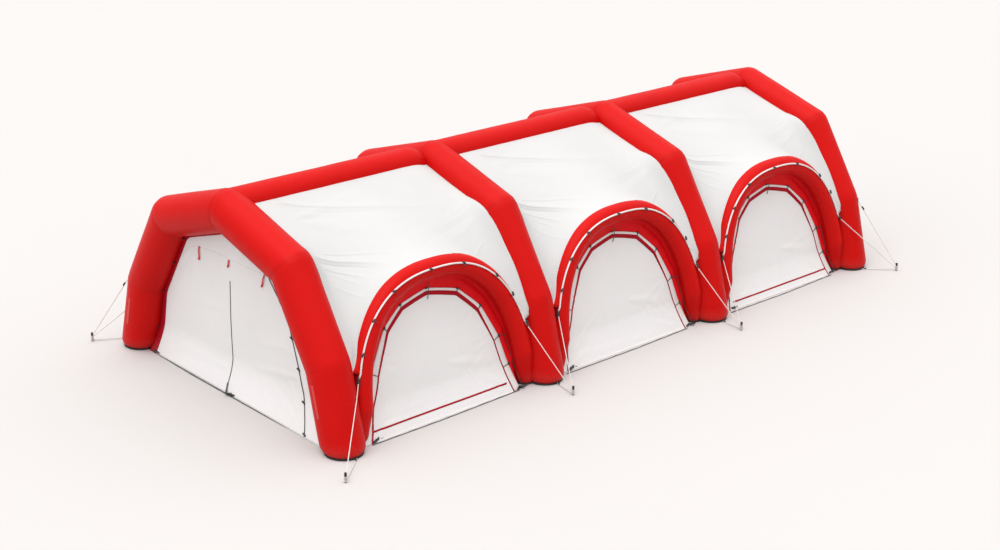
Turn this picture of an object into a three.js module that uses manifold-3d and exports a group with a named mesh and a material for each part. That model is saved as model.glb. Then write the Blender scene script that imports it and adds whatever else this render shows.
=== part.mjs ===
// An inflatable emergency shelter of three bays, as a three.js scene graph.
//
// Four pentagonal air arches stand across the shelter. Ridge tubes join their tops, and in
// each bay a smaller round air arch leans inwards on either long side. White roof sheets
// hang from the ridge and the arches and wrap over the side arches, and the ends and the
// side arches are closed by white walls. Guy ropes run down to pegs.
//
// Millimetres. X runs along the ridge, -Y is the side with the marked walls, Z is up, and
// the origin is on the ground under the middle of the shelter.

import * as THREE from 'three';
import { mergeVertices } from 'three/addons/utils/BufferGeometryUtils.js';
import Module from 'manifold-3d';

const wasm = await Module();
wasm.setup();

// ---------------------------------------------------------------- driving dimensions

const BAY = 4000; // from one main arch to the next
const BAYS = 3;
const SIDES = ['near', 'far'];

const PAD = { height: 25, mainRadius: 290, sideRadius: 135, segments: 18 };
const SEAT = 0.3; // between pieces that rest on each other or are sewn together

// Main arch: the axis of its tube in the YZ plane.
const ARCH = {
  tube: 330, segments: 14,
  footY: 2680, bendY: 2350, bendZ: 1220, shoulderY: 1550, shoulderZ: 2490, apexZ: 2975,
};
const RIDGE = { tube: 260, segments: 14, z: 3035, reach: 1900 };
// Towards +X a ridge tube narrows and drops as it is drawn in to the arch.
const RIDGE_END = [
  { x: 1360, spread: 1, drop: 0 },
  { x: 1580, spread: 0.9, drop: 20 },
  { x: 1685, spread: 0.65, drop: 45 },
  { x: 1760, spread: 0.4, drop: 60 },
];

// Side arch: a squared round curve in a plane that leans towards the shelter.
const SIDE = {
  tube: 155, segments: 10, footY: 2720, lean: THREE.MathUtils.degToRad(12.5),
  halfSpan: 1605, height: 2260, squareness: 2.45,
  footAside: 75, footBack: 150, // how far each foot is tucked in beside and behind the leg
};

// The rounded lower end of a tube: height above the pad and share of the full radius.
const FOOT_ROUND = [
  { rise: SEAT, spread: 0.78 },
  { rise: 40, spread: 0.94 },
  { rise: 120, spread: 1 },
];

// Side wall: its outline in a plane behind the side arch, where it is laced to the skirt.
const WALL = { back: 146, halfWidth: 1390, height: 1950, squareness: 2.15, foot: 3, lacing: 2.2 };
// How far a wall spreads on the ground: out in front, and along the bay at its two ends.
const WALL_SPREAD = { out: 165, start: 200, end: 40, below: 360 };
// Where the skirt meets its tube, in degrees round it, and beside the tube's feet.
const SKIRT = { degrees: -115, clear: 0.8, footDegrees: -90, footClear: 3 };
const CLOTH = 3; // thickness of every sheet

// Roof sheet: how high round each tube its edges are welded, in degrees above level.
const ROOF = {
  clear: 2.6, // from the sheet's middle to the ridge and the slopes that it is welded to
  legClear: 9, // and to the arch's legs
  ridgeAngle: 10,
  startAngles: [32, 21, 22, 31], // down the slope of the arch at the bay's start
  endAngles: [16.4, 16, 22, 31], // and at its end
  legAngles: [38, 36], // half-way down the leg and at its bend
  hemRows: 3,
  footZ: 1080, // the height on the arch's axis at which the sheet ends
  hemStart: { foot: 60, crown: 80 }, // where the sheet meets the side arch
  hemEnd: { foot: 48, crown: 7, last: 31 }, // where its rope edge lies, last at the bay's end
  hemClear: 5.5,
};
const ARCH_STEP = 10; // degrees between the stations of a side arch
const FOOT_STEPS = [0, 2.5, 5]; // and the stations below the first of them
const HEM_FROM = 20; // the station of a side arch at which the hem begins
const HEM_START = 23; // and where its first corner lies, in degrees

// Soft folds in a roof sheet, from one place to another. across runs 0 to 1 along the
// bay, down runs 0 to 1 from the ridge to the side arch.
const ROOF_FOLDS = [
  { fromAcross: 0.02, fromDown: 0.45, toAcross: 0.5, toDown: 0.8, width: 0.06, rise: 26 },
  { fromAcross: 0.02, fromDown: 0.1, toAcross: 0.75, toDown: 0.24, width: 0.05, rise: 20 },
  { fromAcross: 0.98, fromDown: 0.5, toAcross: 0.6, toDown: 0.9, width: 0.07, rise: -24 },
  { fromAcross: 0.3, fromDown: 0.5, toAcross: 0.95, toDown: 0.4, width: 0.06, rise: 16 },
];
// Each bay's folds differ a little: a shift along the bay and a share of their rise.
const FOLD_CHANGES = [
  { shift: 0, share: 1 },
  { shift: 0.04, share: 0.8 },
  { shift: -0.05, share: 1.1 },
];

// End wall: its plane lies inside the arch's middle, and its edges follow the tube.
const GABLE = {
  inset: 80, facet: 3, clear: 0.7, foot: 3, columns: 8, billow: 35,
  rows: [0, 0.09, 0.19, 0.33, 0.66, 1, 1.33, 1.66, 2], // 0 to 1 is the leg below its bend
};
// How far an end wall spreads out on the ground, more towards its -Y edge.
const GABLE_SPREAD = { out: 190, slant: 0.022, below: 400, narrow: 0.992 };

const ROPE = { radius: 7, segments: 8, clear: 16.7 };
// Where the rope leaves the hem at its two ends, in degrees along the arch and round it.
const FITTINGS = [{ at: 20.5, angle: 54 }, { at: 158.5, angle: 38 }];
// Where a rope to a peg passes a main leg, and how far from it.
const LEG_PASS = { share: 0.2, clear: 26 };
const PEG = { radius: 14, height: 150, headRadius: 20, headHeight: 14, segments: 12 };
// The heights at which ropes are looped round a peg.
const LOOPS = { high: 88, next: 66, previous: 45, low: 24 };
// Where each arch's pegs stand: outwards along X from the arch, and across.
const PEGS = [
  { outX: -560, nearY: 3430, farY: 3300 },
  { outX: -110, nearY: 3430, farY: 3400 },
  { outX: -60, nearY: 3430, farY: 3400 },
  { outX: 450, nearY: 3430, farY: 3400 },
];
// The height of the short guy's start at the pad's edge, and the end arches' high guys.
const LOW_GUY = { z: 13 };
const HIGH_GUY = { height: 1150, angle: 54, clear: 7 };
const HIGH_GUYS = [
  { arch: 0, side: 'far', loop: LOOPS.high },
  { arch: 3, side: 'near', loop: LOOPS.high },
  { arch: 3, side: 'far', loop: LOOPS.high },
];

// ---------------------------------------------------------------- finishes

const finish = (color, roughness) =>
  new THREE.MeshStandardMaterial({ color, roughness, metalness: 0 });
const FINISH = {
  airTube: finish(0xdf1c1c, 0.5),
  roofCloth: finish(0xf3f3f2, 0.75),
  wallCloth: finish(0xe4e3e2, 0.75),
  skirtCloth: finish(0xc80f1c, 0.6),
  pad: finish(0x151515, 0.8),
  rope: finish(0xefe6e0, 0.85),
  peg: finish(0x303234, 0.5),
};

// ---------------------------------------------------------------- solids from points

const v3 = (x, y, z) => new THREE.Vector3(x, y, z);

function signedVolume(positions, triangles) {
  const a = v3();
  const b = v3();
  const c = v3();
  let sum = 0;
  for (const [i, j, k] of triangles) {
    a.copy(positions[i]);
    b.copy(positions[j]);
    c.copy(positions[k]);
    sum += a.dot(b.cross(c));
  }
  return sum / 6;
}

/** A closed geometry whose faces point out, whichever way its triangles were listed. */
function closedGeometry(positions, triangles) {
  const outward = signedVolume(positions, triangles) > 0;
  const index = triangles.flatMap(([i, j, k]) => (outward ? [i, j, k] : [i, k, j]));
  const geometry = new THREE.BufferGeometry();
  const flat = positions.flatMap((p) => [p.x, p.y, p.z]);
  geometry.setAttribute('position', new THREE.Float32BufferAttribute(flat, 3));
  geometry.setIndex(index);
  geometry.computeVertexNormals();
  return geometry;
}

/** Joins rings of equally many points into a tube and closes it with flat ends. */
function tubeFromRings(rings) {
  const sides = rings[0].length;
  const positions = rings.flat();
  const triangles = [];
  for (let r = 0; r + 1 < rings.length; r += 1) {
    for (let s = 0; s < sides; s += 1) {
      const a = r * sides + s;
      const b = r * sides + ((s + 1) % sides);
      triangles.push([a, b, a + sides], [b, b + sides, a + sides]);
    }
  }
  for (const [first, turn] of [[0, 1], [(rings.length - 1) * sides, -1]]) {
    const middle = positions.length;
    const ring = positions.slice(first, first + sides);
    positions.push(ring.reduce((sum, p) => sum.add(p), v3(0, 0, 0)).divideScalar(sides));
    for (let s = 0; s < sides; s += 1) {
      const a = first + s;
      const b = first + ((s + 1) % sides);
      triangles.push(turn > 0 ? [middle, b, a] : [middle, a, b]);
    }
  }
  return closedGeometry(positions, triangles);
}

/** The normal of a grid of points at each of its points. */
function gridNormals(grid) {
  const rows = grid.length;
  const columns = grid[0].length;
  return grid.map((row, r) => row.map((_, c) => {
    const along = grid[r][Math.min(c + 1, columns - 1)].clone().sub(grid[r][Math.max(c - 1, 0)]);
    const down = grid[Math.min(r + 1, rows - 1)][c].clone().sub(grid[Math.max(r - 1, 0)][c]);
    return along.cross(down).normalize();
  }));
}

/** A sheet of the cloth's thickness through the points of a grid. */
function sheetFromGrid(grid, thickness = CLOTH) {
  const rows = grid.length;
  const columns = grid[0].length;
  const normals = gridNormals(grid);
  const face = (side) => grid.flatMap((row, r) =>
    row.map((p, c) => p.clone().addScaledVector(normals[r][c], (side * thickness) / 2)));
  const positions = [...face(1), ...face(-1)];
  const under = rows * columns;
  const at = (r, c) => r * columns + c;
  const triangles = [];
  for (let r = 0; r + 1 < rows; r += 1) {
    for (let c = 0; c + 1 < columns; c += 1) {
      const [a, b, d, e] = [at(r, c), at(r, c + 1), at(r + 1, c), at(r + 1, c + 1)];
      triangles.push([a, b, e], [a, e, d]);
      triangles.push([under + a, under + e, under + b], [under + a, under + d, under + e]);
    }
  }
  const rim = [];
  for (let c = 0; c + 1 < columns; c += 1) rim.push(at(0, c));
  for (let r = 0; r + 1 < rows; r += 1) rim.push(at(r, columns - 1));
  for (let c = columns - 1; c > 0; c -= 1) rim.push(at(rows - 1, c));
  for (let r = rows - 1; r > 0; r -= 1) rim.push(at(r, 0));
  rim.forEach((a, i) => {
    const b = rim[(i + 1) % rim.length];
    triangles.push([a, under + a, b], [b, under + a, under + b]);
  });
  return closedGeometry(positions, triangles);
}

// ---------------------------------------------------------------- joining and cutting

function toSolid(geometry) {
  const plain = geometry.clone();
  plain.deleteAttribute('normal');
  if (plain.attributes.uv) plain.deleteAttribute('uv');
  const merged = mergeVertices(plain, 1e-4);
  return new wasm.Manifold(new wasm.Mesh({
    numProp: 3,
    vertProperties: new Float32Array(merged.attributes.position.array),
    triVerts: new Uint32Array(merged.index.array),
  }));
}

function fromSolid(solid) {
  const mesh = solid.getMesh();
  const geometry = new THREE.BufferGeometry();
  geometry.setAttribute('position', new THREE.BufferAttribute(mesh.vertProperties, 3));
  geometry.setIndex(new THREE.BufferAttribute(mesh.triVerts, 1));
  geometry.computeVertexNormals();
  return geometry;
}

const join = (first, ...rest) =>
  fromSolid(rest.reduce((solid, geometry) => solid.add(toSolid(geometry)), toSolid(first)));

const cut = (body, ...tools) =>
  fromSolid(tools.reduce((solid, geometry) => solid.subtract(toSolid(geometry)), toSolid(body)));

/** The same shape on the other long side of the shelter. */
function mirrored(geometry) {
  const copy = geometry.clone().scale(1, -1, 1);
  const index = Array.from(copy.index.array);
  for (let i = 0; i < index.length; i += 3) {
    [index[i + 1], index[i + 2]] = [index[i + 2], index[i + 1]];
  }
  copy.setIndex(index);
  copy.computeVertexNormals();
  return copy;
}

const onSide = (geometry, side) => (side === 'far' ? mirrored(geometry) : geometry);

// ---------------------------------------------------------------- air tubes

/**
 * A ring of a tube whose axis lies in a flat curve: it sits where the plane with normal
 * slice cuts the tube, and level is the normal of the curve's own plane.
 */
function tubeRing({ centre, axis, slice, spread = 1 }, level, radius, sides) {
  const side = axis.clone().cross(level).normalize();
  const ring = [];
  for (let s = 0; s < sides; s += 1) {
    const angle = (2 * Math.PI * (s + 0.5)) / sides;
    const arm = level.clone().multiplyScalar(Math.cos(angle));
    arm.addScaledVector(side, Math.sin(angle)).multiplyScalar(radius);
    arm.addScaledVector(axis, -arm.dot(slice) / axis.dot(slice));
    ring.push(centre.clone().addScaledVector(arm, spread));
  }
  return ring;
}

/** How far a tube's facets lie from its axis at an angle round it. */
function facetRadius(radius, segments, degrees) {
  const step = 360 / segments;
  const aside = degrees - step * Math.round(degrees / step);
  const half = THREE.MathUtils.degToRad(step / 2);
  return (radius * Math.cos(half)) / Math.cos(THREE.MathUtils.degToRad(aside));
}

const tube = (stations, level, radius, sides) =>
  tubeFromRings(stations.map((station) => tubeRing(station, level, radius, sides)));

/** The stations of a tube's rounded lower end, from the pad upwards. */
function footStations(footCentre, axis) {
  const up = v3(0, 0, 1);
  return FOOT_ROUND.map(({ rise, spread }) => {
    const z = PAD.height + rise;
    const centre = footCentre.clone().addScaledVector(axis, (z - footCentre.z) / axis.z);
    return { centre, axis, slice: up, spread };
  });
}

/** The corners of a main arch's axis, from the near foot over the apex to the far one. */
function archCorners() {
  const near = [
    v3(0, -ARCH.footY, 0),
    v3(0, -ARCH.bendY, ARCH.bendZ),
    v3(0, -ARCH.shoulderY, ARCH.shoulderZ),
  ];
  const far = near.map((p) => v3(0, -p.y, p.z)).reverse();
  return [...near, v3(0, 0, ARCH.apexZ), ...far];
}

function mainArch(extra = 0) {
  const corners = archCorners();
  const last = corners.length - 1;
  const directions = corners.slice(1).map((p, i) => p.clone().sub(corners[i]).normalize());
  const stations = corners.slice(1, last).map((centre, i) => ({
    centre,
    axis: directions[i],
    slice: directions[i].clone().add(directions[i + 1]).normalize(),
  }));
  const start = footStations(corners[0], directions[0]);
  const endAxis = directions[last - 1];
  const end = footStations(corners[last], endAxis).reverse();
  return tube([...start, ...stations, ...end], v3(1, 0, 0), ARCH.tube + extra, ARCH.segments);
}

const archHalves = () => [-BAY / 2, BAY / 2].map((x) => mainArch(SEAT).translate(x, 0, 0));

/** A ridge tube, its ends hollowed to the arches that it is welded to. */
function ridgeTube() {
  const axis = v3(1, 0, 0);
  const stations = [{ x: -RIDGE.reach, spread: 1, drop: 0 }, ...RIDGE_END].map((end) => (
    { centre: v3(end.x, 0, RIDGE.z - end.drop), axis, slice: axis, spread: end.spread }
  ));
  return cut(tube(stations, v3(0, 1, 0), RIDGE.tube, RIDGE.segments), ...archHalves());
}

const squared = (value, squareness) =>
  Math.sign(value) * Math.abs(value) ** (2 / squareness);

/** A squared round curve: its place along the bay and its height up the leaning plane. */
function archCurve(degrees, { halfSpan, height, squareness }) {
  const angle = THREE.MathUtils.degToRad(degrees);
  return {
    along: -halfSpan * squared(Math.cos(angle), squareness),
    up: height * squared(Math.sin(angle), squareness),
  };
}

const LEAN_UP = v3(0, Math.sin(SIDE.lean), Math.cos(SIDE.lean));
const LEAN_OUT = v3(0, -Math.cos(SIDE.lean), Math.sin(SIDE.lean));

/** A place in the side arch's plane, or a distance out in front of it. */
function leaning(along, up, out = 0) {
  return v3(along, -SIDE.footY, 0).addScaledVector(LEAN_UP, up).addScaledVector(LEAN_OUT, out);
}

/** The side arch's axis, its feet tucked in beside and behind the main legs. */
function sideAxis(degrees) {
  const { along, up } = archCurve(degrees, SIDE);
  const low = Math.max(0, 1 - up / archCurve(ARCH_STEP, SIDE).up);
  const place = leaning(along, up);
  place.x += Math.sign(along) * SIDE.footAside * low;
  place.y += SIDE.footBack * low;
  return place;
}

function sideDirection(degrees) {
  const small = 0.5;
  return sideAxis(degrees + small).sub(sideAxis(degrees - small)).normalize();
}

/** The axis and the cut of the side arch's tube at a place: level cuts below the first step. */
function sideStation(degrees) {
  const fromEnd = degrees > 90 ? 180 - degrees : degrees;
  if (fromEnd >= ARCH_STEP) {
    const axis = sideDirection(degrees);
    return { centre: sideAxis(degrees), axis, slice: axis };
  }
  const axis = sideAxis(FOOT_STEPS[1]).sub(sideAxis(0)).normalize();
  if (degrees > 90) axis.set(axis.x, -axis.y, -axis.z);
  return { centre: sideAxis(degrees), axis, slice: v3(0, 0, 1) };
}

/** A place round the side arch's tube: 0 is its front and 90 its outer side. */
function roundSide(degrees, angle, radius) {
  const { centre, axis, slice } = sideStation(degrees);
  const outer = LEAN_OUT.clone().cross(axis).normalize();
  const arm = LEAN_OUT.clone().multiplyScalar(radius * Math.cos(angle));
  arm.addScaledVector(outer, radius * Math.sin(angle));
  arm.addScaledVector(axis, -arm.dot(slice) / axis.dot(slice));
  return centre.add(arm);
}

/** Every place with a station, from the near end of the side arch to its other end. */
function sidePlaces() {
  const places = [...FOOT_STEPS];
  for (let degrees = ARCH_STEP; degrees <= 90; degrees += ARCH_STEP) places.push(degrees);
  return [...places, ...places.slice(0, -1).reverse().map((degrees) => 180 - degrees)];
}

function sideArch() {
  const stations = sidePlaces().slice(1, -1).map(sideStation);
  const start = footStations(sideAxis(0), sideStation(0).axis);
  const end = footStations(sideAxis(180), sideStation(180).axis).reverse();
  const body = tube([...start, ...stations, ...end], LEAN_OUT, SIDE.tube, SIDE.segments);
  return cut(body, ...archHalves());
}

// ---------------------------------------------------------------- cloth

const mix = (a, b, share) => a + (b - a) * share;
const radians = THREE.MathUtils.degToRad;

/** A corner line of the roof sheet's welded edge on the arch at the bay's start. */
function archEdge(corner, outward, degrees, clear = ROOF.clear) {
  const radius = facetRadius(ARCH.tube, ARCH.segments, degrees) + clear;
  const place = corner.clone().addScaledVector(outward, radius * Math.sin(radians(degrees)));
  place.x = -BAY / 2 + radius * Math.cos(radians(degrees));
  return place;
}

/** A place of the roof sheet's welded edge on the ridge tube. */
function ridgeWeld({ x, spread, drop }) {
  const facet = facetRadius(RIDGE.tube * spread, RIDGE.segments, ROOF.ridgeAngle);
  const radius = facet + ROOF.clear;
  const angle = radians(ROOF.ridgeAngle);
  return v3(x, -radius * Math.cos(angle), RIDGE.z - drop + radius * Math.sin(angle));
}

/** The roof sheet's edge along an arch, from the ridge down to below the lower bend. */
function roofArchEdge(angles, weld) {
  const [foot, bend, shoulder, apex] = archCorners();
  const slope = apex.clone().sub(shoulder).normalize();
  const leg = shoulder.clone().sub(bend).normalize();
  const square = (direction) => v3(0, -direction.z, direction.y);
  const both = square(slope).add(square(leg)).normalize();
  both.divideScalar(both.dot(square(slope)));
  const top = apex.clone().addScaledVector(slope, weld.y / slope.y);
  const last = angles.length - 1;
  const rows = angles.map((degrees, row) => {
    const outward = row === last ? both : square(slope);
    return archEdge(top.clone().lerp(shoulder, row / last), outward, degrees);
  });
  ROOF.legAngles.forEach((degrees, row) => {
    const place = shoulder.clone().lerp(bend, (row + 1) / ROOF.legAngles.length);
    rows.push(archEdge(place, square(leg), degrees, ROOF.legClear));
  });
  const low = foot.clone().lerp(bend, ROOF.footZ / bend.z);
  const lowOutward = square(bend.clone().sub(foot).normalize());
  rows.push(archEdge(low, lowOutward, ROOF.legAngles.at(-1), ROOF.legClear));
  rows[0].y = weld.y;
  rows[0].z = weld.z;
  return rows;
}

const hemAngle = (degrees, { foot, crown, last = foot }) =>
  radians(mix(degrees < 90 ? foot : last, crown, Math.sin(radians(degrees)) ** 3));

/** Lets the inner points of a stretched sheet settle between its fixed edges. */
function relax(grid, passes = 6) {
  for (let pass = 0; pass < passes; pass += 1) {
    const before = grid.map((row) => row.map((p) => p.clone()));
    for (let r = 1; r + 1 < grid.length; r += 1) {
      for (let c = 1; c + 1 < grid[r].length; c += 1) {
        grid[r][c].copy(before[r - 1][c]).add(before[r + 1][c]);
        grid[r][c].add(before[r][c - 1]).add(before[r][c + 1]).divideScalar(4);
      }
    }
  }
}

/** How far a fold lifts the cloth at a place in the sheet. */
function foldRise(fold, across, down, change) {
  const fromAcross = fold.fromAcross + change.shift;
  const runAcross = fold.toAcross - fold.fromAcross;
  const runDown = fold.toDown - fold.fromDown;
  const square = runAcross ** 2 + runDown ** 2;
  const share = ((across - fromAcross) * runAcross + (down - fold.fromDown) * runDown) / square;
  const along = THREE.MathUtils.clamp(share, 0, 1);
  const aside = Math.hypot(
    across - fromAcross - along * runAcross,
    down - fold.fromDown - along * runDown,
  );
  const fade = 1 - 0.6 * along;
  return fold.rise * change.share * fade * Math.exp(-((aside / fold.width) ** 2));
}

/** The hem's places along the side arch, one for each column of the sheet. */
function hemPlaces() {
  const places = [];
  for (let degrees = HEM_FROM; degrees <= 180 - HEM_FROM; degrees += ARCH_STEP) {
    places.push(THREE.MathUtils.clamp(degrees, HEM_START, 180 - HEM_START));
  }
  return places;
}

/** The sheet's edge along the ridge tube, from the bay's start to its end. */
function ridgeEdge(start, count) {
  const [straight, ...drawnIn] = RIDGE_END.slice(0, -1);
  const even = count - drawnIn.length;
  const points = [];
  for (let i = 0; i < even; i += 1) {
    const x = mix(start.x, straight.x, i / (even - 1));
    points.push(ridgeWeld({ ...straight, x }));
  }
  return [...points, ...drawnIn.map(ridgeWeld)];
}

function roofSheet(change) {
  const straight = ridgeWeld(RIDGE_END[0]);
  const corner = ridgeWeld(RIDGE_END[2]);
  const starts = roofArchEdge(ROOF.startAngles, straight);
  const ends = roofArchEdge(ROOF.endAngles, corner);
  ends.forEach((p) => { p.x *= -1; });
  const last = starts.length - 1;
  const places = hemPlaces();
  const columns = places.length - 1;
  const ridge = ridgeEdge(starts[0], places.length);
  const grid = starts.map((start, row) => places.map((degrees, column) => {
    const across = column / columns;
    const nearer = Math.min(across, 1 - across) * 2;
    const landing = roundSide(
      degrees,
      hemAngle(degrees, ROOF.hemStart),
      SIDE.tube + ROOF.hemClear,
    );
    if (row === 0) return ridge[column];
    const free = ridge[column].clone().lerp(landing, row / last);
    const held = start.clone().lerp(ends[row], across);
    return held.lerp(free, row === last && nearer > 0 ? 1 : nearer ** 0.5);
  }));
  relax(grid);
  const normals = gridNormals(grid);
  for (let row = 1; row < last; row += 1) {
    for (let column = 1; column < columns; column += 1) {
      for (const fold of ROOF_FOLDS) {
        const rise = foldRise(fold, column / columns, row / last, change);
        const up = Math.sign(normals[row][column].z);
        grid[row][column].addScaledVector(normals[row][column], rise * up);
      }
    }
  }
  for (let row = 1; row <= ROOF.hemRows; row += 1) {
    const share = row / ROOF.hemRows;
    grid.push(grid[last].map((landed, column) => {
      const degrees = places[column];
      const from = hemAngle(degrees, ROOF.hemStart);
      const to = hemAngle(degrees, ROOF.hemEnd);
      const place = roundSide(degrees, mix(from, to, share), SIDE.tube + ROOF.hemClear);
      const corner = column === 0 || column === columns;
      return corner ? landed.clone().lerp(place, share) : place;
    }));
  }
  return sheetFromGrid(grid);
}

/** How much of a cloth's spread on the ground is left at a height. */
const lowShare = (z, below, power) => Math.max(0, 1 - z / below) ** power;

/** A place on the line where a side wall is laced to its skirt. */
function lacingPoint(degrees, inset = 0) {
  const size = {
    halfSpan: WALL.halfWidth - inset,
    height: WALL.height - inset,
    squareness: WALL.squareness,
  };
  const { along, up } = archCurve(degrees, size);
  const point = leaning(along, up, -WALL.back);
  const aside = along < 0 ? -WALL_SPREAD.start : WALL_SPREAD.end;
  point.x += aside * lowShare(point.z, WALL_SPREAD.below, 1.8);
  point.y -= WALL_SPREAD.out * lowShare(point.z, WALL_SPREAD.below, 1.4);
  point.z = Math.max(point.z, WALL.foot);
  return point;
}

function skirt() {
  const inner = sidePlaces().map((degrees) => lacingPoint(degrees));
  const outer = sidePlaces().map((degrees) => {
    const besideFoot = Math.min(degrees, 180 - degrees) < ARCH_STEP;
    const angle = besideFoot ? SKIRT.footDegrees : SKIRT.degrees;
    const clear = besideFoot ? SKIRT.footClear : SKIRT.clear;
    const facet = facetRadius(SIDE.tube, SIDE.segments, angle);
    const point = roundSide(degrees, radians(angle), facet + clear);
    point.z = Math.max(point.z, WALL.foot);
    return point;
  });
  return sheetFromGrid([outer, inner]);
}

/** Fills a four-sided outline with a grid: start, end, low and high are its sides. */
function patch(start, end, low, high, shares = start.map((_, row) => row / (start.length - 1))) {
  const columns = low.length - 1;
  return start.map((_, row) => low.map((__, column) => {
    const down = shares[row];
    const across = column / columns;
    const place = start[row].clone().multiplyScalar(1 - across);
    place.addScaledVector(end[row], across);
    place.addScaledVector(low[column], 1 - down).addScaledVector(high[column], down);
    place.addScaledVector(low[0], -(1 - down) * (1 - across));
    place.addScaledVector(low[columns], -(1 - down) * across);
    place.addScaledVector(high[0], -down * (1 - across));
    return place.addScaledVector(high[columns], -down * across);
  }));
}

function sideWall() {
  const corner = 40;
  const places = sidePlaces();
  const line = (kept) => kept.map((degrees) => lacingPoint(degrees, WALL.lacing));
  const high = line(places.filter((degrees) => degrees >= corner && degrees <= 180 - corner));
  const start = line(places.filter((degrees) => degrees <= corner));
  const end = line(places.filter((degrees) => degrees >= 180 - corner).reverse());
  const low = high.map((_, i) => start[0].clone().lerp(end[0], i / (high.length - 1)));
  const shares = start.map((p) => p.z / start.at(-1).z);
  return sheetFromGrid(patch(start, end, low, high, shares));
}

/** An end wall of the shelter, billowing a little, in the arch's own frame. */
function gable() {
  const [foot, bend, shoulder, apex] = archCorners();
  const facet = (2 * Math.PI * GABLE.facet) / ARCH.segments;
  const flat = facetRadius(ARCH.tube, ARCH.segments, 0) + GABLE.clear;
  const reach = (flat - GABLE.inset * Math.cos(facet)) / Math.sin(facet);
  const inward = (a, b) => v3(0, b.z - a.z, a.y - b.y).normalize();
  const legIn = inward(foot, bend);
  const midIn = inward(bend, shoulder);
  const topIn = inward(shoulder, apex);
  const inner = (corner, one, other) => {
    const both = one.clone().add(other).normalize();
    return corner.clone().addScaledVector(both, reach / both.dot(one));
  };
  const innerBend = inner(bend, legIn, midIn);
  const innerShoulder = inner(shoulder, midIn, topIn);
  const innerApex = v3(0, 0, apex.z - reach / topIn.clone().negate().z);
  const innerFoot = foot.clone().addScaledVector(legIn, reach);
  innerFoot.lerp(innerBend, (GABLE.foot - innerFoot.z) / (innerBend.z - innerFoot.z));
  const acrossTo = (p) => v3(0, -p.y, p.z);
  const start = GABLE.rows.map((share) => (share <= 1
    ? innerFoot.clone().lerp(innerBend, share)
    : innerBend.clone().lerp(innerShoulder, share - 1)));
  const end = start.map(acrossTo);
  const low = [];
  const high = [];
  for (let column = 0; column <= GABLE.columns; column += 1) {
    const share = (2 * column) / GABLE.columns;
    low.push(innerFoot.clone().lerp(acrossTo(innerFoot), share / 2));
    high.push(share <= 1
      ? innerShoulder.clone().lerp(innerApex, share)
      : innerApex.clone().lerp(acrossTo(innerShoulder), share - 1));
  }
  const shares = GABLE.rows.map((share) => share / 2);
  const grid = patch(start, end, low, high, shares);
  grid.forEach((row, r) => row.forEach((p, c) => {
    const upShare = Math.sin(Math.PI * shares[r]);
    const wideShare = Math.sin((2 * Math.PI * c) / GABLE.columns) ** 2;
    const spread = GABLE_SPREAD.out - GABLE_SPREAD.slant * p.y;
    const left = lowShare(start[r].z, GABLE_SPREAD.below, 1.6);
    p.x = GABLE.inset + GABLE.billow * upShare * wideShare - spread * left;
    if (left > 0.01) p.y *= GABLE_SPREAD.narrow;
  }));
  return sheetFromGrid(grid);
}

// ---------------------------------------------------------------- ground pads

/** The pad under an arch's foot and the side arch feet beside it. */
function groundPad(sideFeet) {
  const disc = (radius, x, y) => {
    const geometry = new THREE.CylinderGeometry(radius, radius, PAD.height, PAD.segments);
    return geometry.rotateX(Math.PI / 2).translate(x, y, PAD.height / 2);
  };
  const beside = BAY / 2 - SIDE.halfSpan - SIDE.footAside;
  const across = SIDE.footBack - SIDE.footY;
  const feet = sideFeet.map((turn) => disc(PAD.sideRadius, turn * beside, across));
  return join(disc(PAD.mainRadius, 0, -ARCH.footY), ...feet);
}

// ---------------------------------------------------------------- ropes and pegs

/** A rope through points given by hand, straight between them. */
function ropeAlong(points) {
  const rings = points.map((p, i) => {
    const before = points[Math.max(i - 1, 0)];
    const after = points[Math.min(i + 1, points.length - 1)];
    const axis = after.clone().sub(before).normalize();
    const level = Math.abs(axis.z) > 0.9 ? v3(1, 0, 0) : v3(0, 0, 1);
    const one = level.cross(axis).normalize();
    const two = axis.clone().cross(one);
    const ring = [];
    for (let s = 0; s < ROPE.segments; s += 1) {
      const angle = (2 * Math.PI * s) / ROPE.segments;
      const arm = one.clone().multiplyScalar(Math.cos(angle)).addScaledVector(two, Math.sin(angle));
      ring.push(p.clone().addScaledVector(arm, ROPE.radius));
    }
    return ring;
  });
  return tubeFromRings(rings);
}

const archX = (arch) => (arch - BAYS / 2) * BAY;

/** A loop's middle on a peg, drawn on the near side. */
function pegLoop(arch, side, z) {
  const { outX, nearY, farY } = PEGS[arch];
  return v3(archX(arch) + outX, side === 'near' ? -nearY : -farY, z);
}

/** The end of a rope that comes from a point to a loop on a peg. */
function ropeEnd(from, loop) {
  const steepness = Math.abs(from.z - loop.z) / from.distanceTo(loop);
  const reach = PEG.radius + ROPE.radius * steepness + SEAT;
  return loop.clone().lerp(from, reach / Math.hypot(from.x - loop.x, from.y - loop.y));
}

/** A place on a main leg's front: turn is 1 on its +X side, and the angle is from there. */
function onLeg(arch, turn, { height, angle, clear }) {
  const [foot, bend] = archCorners();
  const place = foot.clone().lerp(bend, height / bend.z);
  const outward = v3(0, foot.z - bend.z, bend.y - foot.y).normalize();
  outward.multiplyScalar(Math.sign(-outward.y));
  const radius = ARCH.tube + clear;
  place.addScaledVector(outward, radius * Math.sin(radians(angle)));
  place.x = archX(arch) + turn * radius * Math.cos(radians(angle));
  return place;
}

/** A place on the way from a fitting to a peg, kept clear of the main leg beside it. */
function passingLeg(arch, fitting, loop) {
  const place = fitting.clone().lerp(loop, LEG_PASS.share);
  const [foot, bend] = archCorners();
  const middle = foot.clone().lerp(bend, place.z / bend.z);
  middle.x = archX(arch);
  const away = place.clone().sub(middle);
  const least = ARCH.tube + LEG_PASS.clear;
  return away.length() < least ? middle.addScaledVector(away.normalize(), least) : place;
}

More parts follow.
